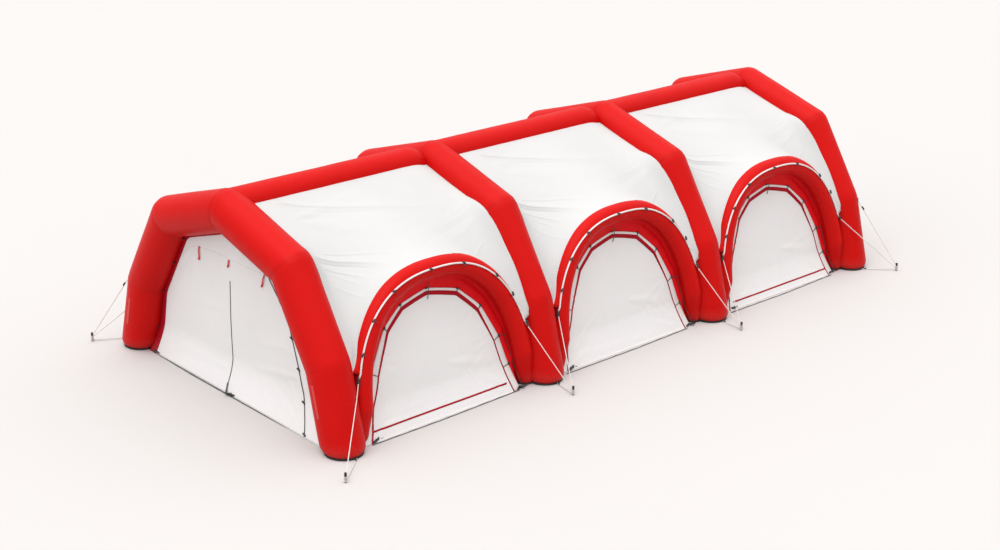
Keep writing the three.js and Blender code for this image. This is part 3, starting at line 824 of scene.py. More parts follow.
def refine(grid: Array, rows: int, columns: int) -> Array:
    """A finer grid on a smooth surface through the points of a coarse one.

    Args:
        grid: the coarse points.
        rows: new steps for each old step down.
        columns: new steps for each old step across.

    Returns:
        The fine grid.
    """

    def along_first(points: Array, steps: int) -> Array:
        """Adds smooth steps between the rows."""
        ends = [2 * points[:1] - points[1:2], points, 2 * points[-1:] - points[-2:-1]]
        p = np.concatenate(ends)
        fine = []
        for i in range(len(points) - 1):
            a, b, c, d = p[i:i + 4]
            for k in range(steps):
                t = k / steps
                fine.append(
                    b + 0.5 * t * (c - a + t * (2 * a - 5 * b + 4 * c - d
                                                + t * (3 * (b - c) + d - a)))
                )
        return np.array(fine + [points[-1]])

    fine = along_first(grid, rows)
    return along_first(fine.swapaxes(0, 1), columns).swapaxes(0, 1)


class Crease(Fold):
    """A soft ridge or trough in a sheet's own shape."""

    def lift(self, across: Array, down: Array) -> Array:
        """How far the cloth rises at each place."""
        run = np.subtract(self.end, self.start)
        length = float(np.hypot(*run))
        ahead = run / length
        a, d = across - self.start[0], down - self.start[1]
        share = (a * ahead[0] + d * ahead[1]) / length
        held = np.clip(share, 0, 1)
        aside = d * ahead[0] - a * ahead[1] - self.bow * 4 * held * (1 - held)
        past = (share - held) * length
        wide = self.width * (0.55 + 0.9 * held)
        near = np.hypot(aside, past) / wide
        beside = (np.abs(aside) / wide - 1.7) / 0.8
        profile = np.exp(-near**2) - 0.3 * np.exp(-beside**2) * (share == held)
        fade = np.minimum(held / 0.06 + 0.15, 1) * (1 - held) ** 0.6
        return self.rise * fade * profile


@dataclass(frozen=True)
class Fan:
    """Creases that spread from where a sheet is pulled."""

    start: Spot
    heading: float  # degrees from across towards down
    spread: float
    count: int
    reach: float
    width: float
    rise: float
    seed: int

    def creases(self) -> list[Crease]:
        """The single creases of the fan."""
        dice = np.random.default_rng(self.seed)
        made = []
        for i in range(self.count):
            turn = (i + 0.5) / self.count - 0.5 + dice.uniform(-0.2, 0.2) / self.count
            angle = math.radians(self.heading + self.spread * turn)
            reach = self.reach * dice.uniform(0.55, 1.1)
            back = dice.uniform(0.0, 0.12)
            step = (math.cos(angle), math.sin(angle))
            start = (self.start[0] + step[0] * back, self.start[1] + step[1] * back)
            end = (start[0] + step[0] * reach, start[1] + step[1] * reach)
            sign = 1 if i % 2 == 0 else -0.7
            made.append(
                Crease(
                    start, end, self.width * dice.uniform(0.7, 1.3),
                    sign * self.rise * dice.uniform(0.6, 1.2), dice.uniform(-0.03, 0.03),
                )
            )
        return made


def crease_field(across: Array, down: Array, creases: list[Crease | Fan]) -> Array:
    """The summed rise of creases and fans on a sheet.

    Args:
        across: places across the sheet, in metres.
        down: the same down it.
        creases: what raises it.

    Returns:
        The rise at each place.
    """
    total = np.zeros_like(across)
    for item in creases:
        for crease in item.creases() if isinstance(item, Fan) else [item]:
            total += crease.lift(across, down)
    return total


def ripple(a: Array, b: Array, seed: int, size: float) -> Array:
    """Smooth random unevenness, about -1 to 1.

    Args:
        a: one direction, in metres.
        b: the other direction, in metres.
        seed: what picks the pattern.
        size: from one swell to the next, in metres.

    Returns:
        The unevenness at each place.
    """
    dice = np.random.default_rng(seed)
    total = np.zeros(np.broadcast(a, b).shape)
    for _ in range(7):
        angle, phase = dice.uniform(0, math.pi), dice.uniform(0, 2 * math.pi)
        turn = 2 * math.pi / (size * dice.uniform(0.6, 1.6))
        total += np.sin(turn * (a * math.cos(angle) + b * math.sin(angle)) + phase)
    return total / 4


@dataclass
class Part:
    """A sub-assembly, whose pieces share a place and a word in their names."""

    finishes: Finishes

    @property
    def label(self) -> str:
        """What follows each piece's own name."""
        return ""

    def placed(self, surface: Surface) -> Surface:
        """Moves a surface from where it is drawn to where the part stands."""
        return surface

    def piece(
        self, parts: list[Surface], name: str, finish: str, slot: str = "peg",
        node: str | None = None,
    ) -> Piece:
        """Builds surfaces as one dressed piece.

        Args:
            parts: its shapes, as they are drawn.
            name: its own name.
            finish: the name of its finish.
            slot: not used.
            node: the own name of the solid that it replaces.

        Returns:
            The piece.
        """
        surface = self.placed(Surface.joined(parts))
        piece = surface.build(name + self.label, [self.finishes[finish]])
        return dressed(piece, node and node + self.label)


@dataclass
class BayPart(Part):
    """A part at one side of a bay, drawn on the near side in the bay's own frame."""

    bay: int
    side: Side

    @property
    def label(self) -> str:
        """The side and number of the bay."""
        return f"_{self.side.label}_{self.bay + 1}"

    @property
    def count(self) -> int:
        """The part's number among all the bays and sides."""
        return self.bay * 2 + (self.side is Side.FAR)

    @property
    def seed(self) -> int:
        """What picks the part's own creases."""
        return self.bay * 20 + (self.side is Side.FAR) * 7

    def placed(self, surface: Surface) -> Surface:
        """Moves a surface to its bay and side."""
        return surface.moved(bay_x(self.bay)).mirrored(self.side)


# ---- the round side arch


@dataclass(frozen=True)
class SquaredCurve:
    """A squared half oval, from one foot over the crown to the other."""

    half_span: float
    height: float
    squareness: float

    def at(self, degrees: Array) -> tuple[Array, Array]:
        """How far along and how far up the curve's points lie."""
        angle = np.radians(degrees)
        power = 2 / self.squareness
        cosine, sine = np.cos(angle), np.maximum(np.sin(angle), 0)
        along = -self.half_span * np.sign(cosine) * np.abs(cosine) ** power
        return along, self.height * sine**power


@dataclass(frozen=True)
class SidePlane:
    """The leaning plane of the side arches, and the tube's own axis in it."""

    foot_y: float = 2.72
    lean: float = math.radians(12.5)
    tube: float = 0.155
    curve: SquaredCurve = SquaredCurve(1.605, 2.26, 2.45)
    aside: float = 0.075  # how far each foot is tucked in beside the leg
    back: float = 0.15  # and behind it
    tucked: float = 0.541

    @property
    def up(self) -> Array:
        """Up the plane."""
        return np.array([0.0, math.sin(self.lean), math.cos(self.lean)])

    @property
    def out(self) -> Array:
        """Out in front of the plane."""
        return np.array([0.0, -math.cos(self.lean), math.sin(self.lean)])

    def place(self, along: Array, up: Array, out: float = 0.0) -> Array:
        """Points of the plane, or in front of it."""
        along, up = np.broadcast_arrays(along, up)
        points = np.stack([along, np.full(along.shape, -self.foot_y), 0 * along], axis=-1)
        return points + up[..., None] * self.up + out * self.out

    def axis(self, degrees: Array) -> Array:
        """The tube's axis, its feet tucked in beside and behind the main legs."""
        along, up = self.curve.at(degrees)
        low = np.maximum(1 - up / self.tucked, 0)
        place = self.place(along, up)
        place[..., 0] += np.sign(along) * self.aside * low
        place[..., 1] += self.back * low
        return place

    def direction(self, degrees: Array) -> Array:
        """The axis's direction."""
        return unit(self.axis(degrees + 0.5) - self.axis(degrees - 0.5))

    def round(self, degrees: Array, angle: Array, radius: float) -> Array:
        """Points round the tube.

        Args:
            degrees: the place along the arch.
            angle: 0 is the tube's front and pi/2 its outer side.
            radius: the distance from the axis.

        Returns:
            The points.
        """
        outer = unit(np.cross(self.out, self.direction(degrees)))
        angle = np.asarray(angle)[..., None]
        return self.axis(degrees) + radius * (np.cos(angle) * self.out + np.sin(angle) * outer)

    def even(self, low: float, high: float, count: int) -> Array:
        """Places along the arch that lie evenly spaced on its axis."""
        fine = np.linspace(low, high, 721)
        run = run_along(self.axis(fine))
        return np.interp(np.linspace(0, run[-1], count), run, fine)


PLANE = SidePlane()


@dataclass(frozen=True)
class Hem:
    """Where the roof sheet meets the side arch and where its rope edge lies, in degrees."""

    places: Numbers = (23.0, 36.0, 62.0, 90.0, 157.0)
    starts: Numbers = (62.0, 88.0, 94.0, 82.0, 62.0)  # at these places
    end_foot: float = 48.0
    end_crown: float = 7.0
    end_last: float = 31.0  # the same at the bay's end
    first: float = 23.0  # the place along the arch at which the hem begins
    fittings: Spot = (20.5, 158.5)
    fitting_angles: Spot = (54.0, 38.0)
    clear: float = 0.0055
    toggles: Numbers = (30.5, 46.0, 64.0, 87.5, 104.0, 128.0, 142.5)

    def start(self, degrees: Array) -> Array:
        """Where the sheet lands on the tube."""
        return np.radians(np.interp(degrees, self.places, self.starts))

    def end(self, degrees: Array) -> Array:
        """Where the rope edge lies."""
        share = np.sin(np.radians(degrees)) ** 3
        foot = np.where(np.asarray(degrees) < 90, self.end_foot, self.end_last)
        return np.radians(mix(foot, self.end_crown, share))


HEM = Hem()


def rounded_foot(rise: Array, height: float, narrow: float) -> Array:
    """How wide a tube is above its foot, as a share of its full radius."""
    left = 1 - np.clip(rise / height, 0, 1)
    return narrow + (1 - narrow) * np.sqrt(np.maximum(1 - left**2.4, 0))


def level_rings(ring: Array, leg: Array, heights: Array, height: float, narrow: float) -> Array:
    """Level rings of a tube's rounded foot.

    Args:
        ring: a ring of the tube above its foot.
        leg: the tube's direction.
        heights: where the level rings lie.
        height: how high the rounding reaches above the pad.
        narrow: the share of the full radius that is left at the ground.

    Returns:
        The rings, from the ground up.
    """
    stack = []
    for z in heights:
        level = ring + leg * ((z - ring[:, 2]) / leg[2])[:, None]
        middle = level.mean(axis=0)
        stack.append(middle + (level - middle) * rounded_foot(z - PAD_TOP, height, narrow))
    return np.array(stack)


def puffed(rings: Array, puff: Array) -> Array:
    """The rings with each point moved out from its ring's middle by a factor."""
    middles = rings.mean(axis=1, keepdims=True)
    return middles + (rings - middles) * puff[..., None]


@dataclass
class SideArch(BayPart):
    """A leaning round air arch at one side of a bay."""

    sides: int = 44
    rings: int = 150
    foot_rings: int = 14
    foot_height: float = 0.13

    def surface(self) -> Surface:
        """The tube on the near side, in the bay's own frame."""
        turns = turns_round(self.sides)
        degrees = PLANE.even(4.0, 176.0, self.rings)
        rings = PLANE.round(
            np.repeat(degrees, self.sides), np.tile(turns, self.rings), PLANE.tube
        ).reshape(self.rings, self.sides, 3)
        feet = []
        for ring, turn in ((rings[0], 1), (rings[-1], -1)):
            ends = PLANE.axis(np.array([0.0, 4.0]) if turn > 0 else np.array([180.0, 176.0]))
            share = np.linspace(0.002, 1, self.foot_rings) ** 1.6
            heights = PAD_TOP + share * (ring[:, 2].min() - 0.03 - PAD_TOP)
            stack = level_rings(ring, ends[1] - ends[0], heights, self.foot_height, 0.72)
            feet.append(stack[::turn])
        rings = np.concatenate([feet[0], rings, feet[1]])
        run = np.arange(len(rings))[:, None] * 0.04
        swell = ripple(run, np.cos(turns) * 0.3, 40 + self.count, 0.9)
        return tube_surface(puffed(rings, 1 + 0.012 * swell), np.zeros(len(rings)))

    def build(self) -> Piece:
        """Builds and dresses the arch."""
        parts = [self.surface()]
        piece = self.piece(parts, "side_tube", "air_tube_cloth", "air_tube", "side_arch")
        return piece


# ---- the main frame


@dataclass
class MainArch(Part):
    """A five-cornered air arch across the shelter."""

    number: int
    tube: float = MAIN_TUBE
    sides: int = 60
    spacing: float = 0.04
    crease: float = 0.02  # how far the tube is drawn in at a mitre, as a share
    crease_width: float = 0.035
    foot_height: float = 0.15
    foot_top: float = 0.3  # from the pad to the first whole ring

    @staticmethod
    def corners() -> Array:
        """The corners of the axis, from the near foot to the far one."""
        near = [(-FOOT_Y, 0.0), (-2.35, 1.22), (-1.55, 2.49)]
        far = [(-y, z) for y, z in reversed(near)]
        return np.array([(0.0, y, z) for y, z in [*near, (0.0, 2.975), *far]])

    @staticmethod
    def on_leg(z: float, radius: float, angle: Array) -> Array:
        """Points round the near leg's axis at a height, from the ridge's line outwards."""
        foot, bend = MainArch.corners()[:2]
        way = np.cos(angle)[:, None] * ALONG + np.sin(angle)[:, None] * square(foot, bend)
        return mix(foot, bend, z / bend[2]) + radius * way

    def rings(self) -> tuple[Array, Array]:
        """The rings of the tube and how much each lies on a mitre."""
        corners = self.corners()
        ahead = unit(np.diff(corners, axis=0))
        square = np.stack([0 * ahead[:, 0], -ahead[:, 2], ahead[:, 1]], axis=1)
        turns = turns_round(self.sides)
        level = ALONG * np.cos(turns)[:, None] * self.tube
        stations = []
        last = len(corners) - 1
        for i in range(1, last):
            both = unit(square[i - 1] + square[i])
            both /= np.dot(both, square[i])
            stations.append(corners[i] + level + both * (np.sin(turns) * self.tube)[:, None])
        heights = PAD_TOP + np.linspace(0.002, 1, 18) ** 1.5 * self.foot_top
        feet = []
        for end in (0, -1):
            ring = corners[end] + level + square[end] * (np.sin(turns) * self.tube)[:, None]
            feet.append(level_rings(ring, ahead[end], heights, self.foot_height, 0.76))
        rows = list(feet[0])
        gaps = [math.inf] * len(rows)
        legs = [feet[0][-1], *stations, feet[1][-1]]
        for i in range(len(legs) - 1):
            length = np.linalg.norm(legs[i + 1].mean(axis=0) - legs[i].mean(axis=0))
            count = max(4, int(round(length / self.spacing)))
            for k in range(1, count + 1):
                rows.append(mix(legs[i], legs[i + 1], k / count))
                away = min(k if i > 0 else math.inf, count - k if i < len(legs) - 2 else math.inf)
                gaps.append(away * length / count)
        rows += list(feet[1][-2::-1])
        gaps += [math.inf] * (len(feet[1]) - 1)
        return np.array(rows), np.array(gaps)

    def surface(self) -> Surface:
        """The tube, its mitres softly rounded and drawn in."""
        rings, gaps = self.rings()
        near_mitre = (gaps < 0.13)[:, None, None]
        for _ in range(2):
            eased = rings.copy()
            eased[1:-1] = (rings[:-2] + 2 * rings[1:-1] + rings[2:]) / 4
            rings = np.where(near_mitre, eased, rings)
        turns = turns_round(self.sides)
        middles = rings.mean(axis=1, keepdims=True)
        sharp = np.interp(middles[:, 0, 2], (1.6, 2.0), (0.35, 1.0))
        mark = sharp * np.exp(-((gaps / self.crease_width) ** 2))
        run = run_along(middles[:, 0])[:, None]
        inner = np.maximum(-np.sin(turns), 0) ** 1.5
        tucks = np.sin(run * 2 * math.pi / 0.085 + 2.0 * np.cos(turns))
        tucks = tucks * inner * np.exp(-((gaps / 0.16) ** 2))[:, None]
        seed = 11 + self.number
        puff = 1 - self.crease * mark[:, None] + 0.011 * tucks
        puff = puff + 0.005 * ripple(run, np.cos(turns) * 0.5, seed, 1.1)
        pull = np.exp(-((gaps / 0.22) ** 2))[:, None] * np.sin(turns * 9 + self.number)
        rings = puffed(rings, puff + 0.0035 * pull)
        return tube_surface(rings, 0.6 * sharp * np.exp(-((gaps / 0.022) ** 2)))

    @property
    def label(self) -> str:
        """The arch's number."""
        return f"_{self.number + 1}"

    def placed(self, surface: Surface) -> Surface:
        """Moves a surface along the ridge to the arch."""
        return surface.moved(arch_x(self.number))

    def build(self) -> Piece:
        """Builds and dresses the arch."""
        piece = self.piece([self.surface()], "main_tube", "air_tube_cloth", "air_tube", "arch")
        return piece


@dataclass
class RidgeTube(Part):
    """An air tube along the ridge of one bay, its far end drawn in to the arch."""

    bay: int
    tube: float = 0.26
    z: float = 3.035
    start: float = -1.93
    end: float = 1.76
    round_from: float = 1.36
    sides: int = 48

    def surface(self) -> Surface:
        """The tube in the bay's own frame."""
        turns = turns_round(self.sides)
        straight = np.linspace(self.start, self.round_from, 76)[:-1]
        xs = np.concatenate([straight, np.linspace(self.round_from, self.end, 26)])
        past = np.clip((xs - self.round_from) / (self.end - self.round_from), 0, 1)
        radius = self.tube * (0.30 + 0.70 * np.sqrt(1 - (past * 0.995) ** 2.3))
        drop = -0.06 * past**2
        tucks = np.exp(-(((xs - self.end) / 0.24) ** 2))[:, None]
        tucks = tucks * np.sin(turns * 13) * 0.022
        swell = 0.006 * ripple(xs[:, None], np.cos(turns) * 0.4, 70 + self.bay, 0.9)
        wide = radius[:, None] * (1 + tucks + swell)
        along = np.broadcast_to(xs[:, None], wide.shape)
        level, rise = np.cos(turns) * wide, np.sin(turns) * wide
        points = np.stack([along, level, self.z + drop[:, None] + rise], axis=-1)
        return tube_surface(points, np.zeros(len(xs)))

    @property
    def label(self) -> str:
        """The bay's number."""
        return f"_{self.bay + 1}"

    def placed(self, surface: Surface) -> Surface:
        """Moves a surface to the bay."""
        return surface.moved(bay_x(self.bay))

    def build(self) -> Piece:
        """Builds and dresses the tube."""
        piece = self.piece([self.surface()], "ridge_tube", "air_tube_cloth", "air_tube", "ridge")
        return piece


# ---- roof sheets


@dataclass
class RoofSheet(BayPart):
    """A white roof sheet, from the ridge and two arches over the side arch."""

    arch_tube: float = 0.322
    ridge_tube: float = 0.253
    ridge_z: float = 3.035
    ridge_angle: float = 10.0
    starts: Numbers = (32.0, 21.0, 22.0, 30.0, 40.0, 37.0)
    ends: Numbers = (13.0, 16.0, 18.0, 20.0, 41.0, 37.0)
    lowest: float = 1.08  # where the weld on the leg ends
    weld_end: float = 1.685  # where the weld on the ridge tube ends
    paint_rise: Spot = (0.55, 0.95)  # where the red reaches above the hem
    paint_rows: float = 4.0  # and by how many rows
    paint_end: float = 0.94  # beyond it the hem is white
    fine: int = 16
    hem_rows: int = 10

    def arch_edge(self, angles: Numbers, weld: Array) -> Array:
        """The edge welded to the arch at the bay's start, from the ridge down.

        Args:
            angles: how high round the tube it lies, in degrees above level.
            weld: its upper end on the ridge tube.

        Returns:
            Its points.
        """
        foot, bend, shoulder, apex = MainArch.corners()[:4]
        slope, leg, low = square(shoulder, apex), square(bend, shoulder), square(foot, bend)
        both = unit(slope + leg)
        both /= np.dot(both, slope)
        along = unit(apex - shoulder)
        top = apex + along * (weld[1] / along[1])
        outs = (slope, slope, slope, both)
        rows = [(mix(top, shoulder, i / 3), outs[i], angles[i]) for i in range(4)]
        rows += [(mix(shoulder, bend, 0.5), leg, angles[4]), (bend, leg, angles[5])]
        rows.append((mix(foot, bend, self.lowest / bend[2]), low, angles[5]))
        points = []
        for middle, out, degrees in rows:
            angle = math.radians(degrees)
            point = middle + out * self.arch_tube * math.sin(angle)
            point[0] = -BAY / 2 + self.arch_tube * math.cos(angle)
            points.append(point)
        points[0][1:] = weld[1:]
        return np.array(points)

    def ridge_weld(self, x: Array) -> Array:
        """The edge welded to the ridge tube, drawn in with it towards the arch."""
        places = [1.36, 1.58, 1.685, 1.76]
        radius = self.ridge_tube * np.interp(x, places, [1.0, 0.9, 0.65, 0.4])
        drop = np.interp(x, places, [0.0, 0.02, 0.045, 0.06])
        angle = math.radians(self.ridge_angle)
        rise = self.ridge_z - drop + radius * math.sin(angle)
        return np.stack([x, -radius * math.cos(angle), rise], axis=-1)

    def coarse(self) -> Array:
        """A coarse grid of the sheet from the ridge to the side arch."""
        corners = self.ridge_weld(np.array([0.0, self.weld_end]))
        edge = self.arch_edge(self.starts, corners[0])
        other = self.arch_edge(self.ends, corners[1]) * [-1, 1, 1]
        last = len(edge) - 1
        share = np.linspace(0, 1, 15)
        ridge = self.ridge_weld(mix(edge[0, 0], self.weld_end, share))
        degrees = mix(HEM.first, 180 - HEM.first, share)
        landing = PLANE.round(degrees, HEM.start(degrees), PLANE.tube + HEM.clear)
        nearer = np.minimum(share, 1 - share)[:, None] * 2
        grid = []
        for row, (start, end) in enumerate(zip(edge, other)):
            free = mix(ridge, landing, row / last)
            held = mix(start, end, share[:, None])
            pull = (nearer > 0) * 1.0 if row == last else nearer**0.5
            grid.append(ridge if row == 0 else mix(held, free, pull))
        grid = np.array(grid)
        for _ in range(6):
            inner = grid[:-2, 1:-1] + grid[2:, 1:-1] + grid[1:-1, :-2] + grid[1:-1, 2:]
            grid[1:-1, 1:-1] = inner / 4
        return grid

    def creases(self) -> list[Crease | Fan]:
        """The sheet's soft swells, under its fine creases."""
        made = [
            Crease(fold.start, fold.end, fold.width * 2.2, fold.rise * 0.9, fold.bow)
            for fold in ROOF_FOLDS if fold.rise > 0.009
        ]
        return made + [Fan((-1.4, 0.5), 10, 60, 3, 2.4, 0.12, 0.006, 100 + self.seed)]

    def grid(self) -> tuple[Array, Array, int]:
        """The fine grid of the sheet on the near side.

        Returns:
            Its points, where they lie on the flat cloth, and the row where its hem begins.
        """
        grid = refine(self.coarse(), self.fine, 7)
        plain = grid
        across, down = np.moveaxis(grid_lengths(grid), 2, 0)
        normals = grid_normals(grid)
        normals *= np.sign(normals[..., 2:])
        share = np.linspace(0, 1, grid.shape[1])
        held = np.minimum(np.minimum(share, 1 - share) / 0.04, 1)
        rows = np.linspace(0, 1, grid.shape[0])
        held = held * np.minimum(np.minimum(rows / 0.04, (1 - rows) / 0.08), 1)[:, None]
        lift = crease_field(across, down, self.creases())
        lift += 0.005 * ripple(across, down, 300 + self.count, 1.4)
        seam = np.exp(-(((down - 1.28) / 0.012) ** 2)) * 0.002
        grid = grid + normals * ((lift + seam) * held)[..., None]
        degrees = mix(HEM.first, 180 - HEM.first, share)
        corner = np.maximum(1 - np.minimum(share, 1 - share) * 14, 0)[:, None]
        first = PLANE.round(degrees, HEM.start(degrees), PLANE.tube + HEM.clear)
        away = (grid[-1] - first) * (corner > 0)
        hem = []
        for step in np.linspace(0, 1, self.hem_rows + 1)[1:]:
            angle = mix(HEM.start(degrees), HEM.end(degrees), step)
            place = PLANE.round(degrees, angle, PLANE.tube + HEM.clear)
            hem.append(place + away * corner * (1 - step))
        grid[-1] = first + away * corner
        lengths = grid_lengths(np.concatenate([plain, hem]))
        return np.concatenate([grid, hem]), lengths, len(grid) - 1

    def build(self) -> list[Piece]:
        """Builds and dresses the sheet and its rope sleeve."""
        grid, lengths, hem_row = self.grid()
        surface = sheet_surface(grid, lengths=lengths)
        columns = grid.shape[1] - 1
        quads = (len(grid) - 1) * columns

        def material(face: int) -> int:
            """White above the hem, red on it."""
            if face >= 2 * quads:
                return 0
            row, column = divmod(face % quads, columns)
            share = column / (columns - 1)
            start, end = self.paint_rise
            raised = np.clip((share - start) / (end - start), 0.0, 1.0)
            rows = self.paint_rows * math.sin(math.pi * raised)
            return int(row >= hem_row - rows and share < self.paint_end)

        cloths = [self.finishes["roof_cloth"], self.finishes["air_tube_cloth"]]
        piece = self.placed(surface).build("roof_sheet" + self.label, cloths, material)
        dressed(piece, "roof" + self.label)
        sleeve = self.sleeve()
        "side_tube" + self.label
        return [piece, sleeve]

    def sleeve(self) -> Piece:
        """Builds the white rope sleeve along the hem's edge."""
        degrees = PLANE.even(HEM.fittings[0] + 1, HEM.fittings[1] - 1, 150)
        inside = np.clip(degrees, HEM.first, 180 - HEM.first)
        past = np.minimum(np.abs(degrees - inside) / 2, 1)
        turned = np.where(degrees < 90, *np.radians(HEM.fitting_angles))
        angle = mix(HEM.end(inside), turned, past)
        path = PLANE.round(degrees, angle, PLANE.tube + ROPE_CLEAR)
        return self.piece([rope_surface(path, 0.0135, 12)], "hem_sleeve", "lacing_cloth", "rope")


# ---- skirts and side walls


@dataclass(frozen=True)
class WallOutline:
    """The edge along which a side wall is laced, and the strips inside it."""

    back: float = 0.146
    curve: SquaredCurve = SquaredCurve(1.39, 1.95, 2.15)
    places: Numbers = (0.0, 44.0, 54.0, 131.0, 139.0, 180.0)
    strip: Numbers = (0.13, 0.11, 0.04, 0.04, 0.10, 0.12)  # its width at these places
    piping: Numbers = (0.03, 0.03, 0.06, 0.07, 0.022, 0.02)
    flare: float = 0.165  # how far the wall's foot spreads outwards on the ground
    flare_start: float = 0.29  # and along the bay at its two ends
    flare_end: float = 0.04
    flare_top: float = 0.46
    toggles: Numbers = (13.0, 27.5, 51.5, 68.5, 89.5, 113.0, 133.5, 154.5, 169.0)
    crown_tie: int = 4
    tautness: float = 0.8  # how straight the lacing runs between its toggles

    def spread(self, points: Array) -> Array:
        """The points with their foot spread outwards."""
        low = np.clip(1 - points[..., 2] / self.flare_top, 0, 1)
        wider = np.clip(1 - points[..., 2] / (1.85 * self.flare_top), 0, 1)
        aside = mix(-self.flare_start, self.flare_end, np.clip(points[..., 0] / 2.6 + 0.5, 0, 1))
        moved = points.copy()
        moved[..., 0] += aside * wider**1.8
        moved[..., 1] -= self.flare * low**1.6
        moved[..., 2] = np.maximum(moved[..., 2], 0.003)
        return moved

    def inset(self, degrees: Array, band: Band | None) -> Array:
        """How far inside the lacing a strip's inner edge lies."""
        if band is None:
            return np.zeros_like(degrees)
        strip = np.interp(degrees, self.places, self.strip)
        if band is Band.LACING:
            return strip
        return strip + np.interp(degrees, self.places, self.piping)

    def edge_share(self, flat: Array) -> Array:
        """How near places lie to the outline: 0 in the middle of the ground line, 1 on it."""
        curve = self.curve
        wide, high = np.abs(flat[..., 0]) / curve.half_span, np.abs(flat[..., 1]) / curve.height
        return np.minimum(wide**curve.squareness + high**curve.squareness, 1)

    def laid(self, flat: Array, lift: float | Array = 0.0) -> Array:
        """Points of the wall's plane, or in front of it, from their place along and up."""
        points = PLANE.place(flat[..., 0], flat[..., 1])
        return self.spread(points + PLANE.out * np.asarray(lift - self.back)[..., None])

    def line(self, degrees: Array, band: Band | None = None, lift: float = 0.0) -> Array:
        """A line round the wall, standing in front of it by a lift."""
        return self.laid(self.flat_line(degrees, band), lift)

    def flat_line(self, degrees: Array, band: Band | None = None) -> Array:
        """A line round the wall, along and up its plane.

        Args:
            degrees: places along it.
            band: the strip whose inner edge it is, or None for the lacing itself.

        Returns:
            The points, straightened between the toggles.
        """

        def free(places: Array) -> Array:
            """The line before it is straightened."""
            inset = self.inset(places, band)
            along, up = self.curve.at(places)
            share = (self.curve.half_span - inset) / self.curve.half_span
            height = (self.curve.height - inset) / self.curve.height
            return np.stack([along * share, up * height], axis=-1)

        knots = np.array([0.0, *self.toggles, 180.0])
        at = free(knots)
        straight = np.stack([np.interp(degrees, knots, at[:, k]) for k in range(2)], axis=-1)
        return mix(free(degrees), straight, self.tautness)


WALL = WallOutline()


@dataclass
class Skirt(BayPart):
    """The red cloth between a side arch and its wall."""

    places: Numbers = (0.0, 60.0, 100.0, 130.0, 180.0)
    angles: Numbers = (-62.0, -68.0, -86.0, -112.0, -118.0)  # round the tube
    columns: int = 181
    rows: int = 12

    def build(self) -> Piece:
        """Builds and dresses the skirt."""
        degrees = np.linspace(0, 180, self.columns)
        held = np.clip(degrees, 1.0, 179.0)
        angle = np.radians(np.interp(held, self.places, self.angles))
        outer = PLANE.round(held, angle, PLANE.tube - 0.012)
        outer[[0, -1], 2] = 0.003
        inner = WALL.line(degrees)
        share = np.linspace(0, 1, self.rows)[:, None]
        grid = mix(outer[None], inner[None], share[..., None])
        normals = grid_normals(grid)
        normals *= -np.sign(np.sum(normals * PLANE.out, axis=2, keepdims=True))
        sag = 0.022 * np.sin(math.pi * share) * np.sin(np.radians(degrees)) ** 0.5
        toggles = np.array(WALL.toggles)
        near = np.exp(-(((degrees[:, None] - toggles) / 2.2) ** 2)).sum(axis=1)
        sag = sag - 0.012 * near * share * (1 - share) * 4
        run = run_along(inner)
        waves = 0.004 * ripple(run, share * 0.4, 500 + self.count, 0.35)
        sag = sag + waves * np.sin(math.pi * share)
        deep = np.interp(degrees, (80, 115, 165, 180), (0, 1, 1, 0.3))
        valley = 0.085 * np.exp(-(((share - 0.25) / 0.2) ** 2)) * share**0.3
        sag = sag + deep * valley
        surface = sheet_surface(grid + normals * sag[..., None])
        # Darkening by the tube: a faint weld all along, and painted shade, much darker, where the
        # valley is deep.
        weld = (0.4 + 1.6 * deep) * np.exp(-((share / 0.16) ** 2))
        surface.seam = np.tile(weld.ravel(), 2)
        piece = self.piece([surface], "skirt_cloth", "skirt_cloth", "skirt_cloth", "skirt")
        tube = "side_tube" + self.label
        return piece


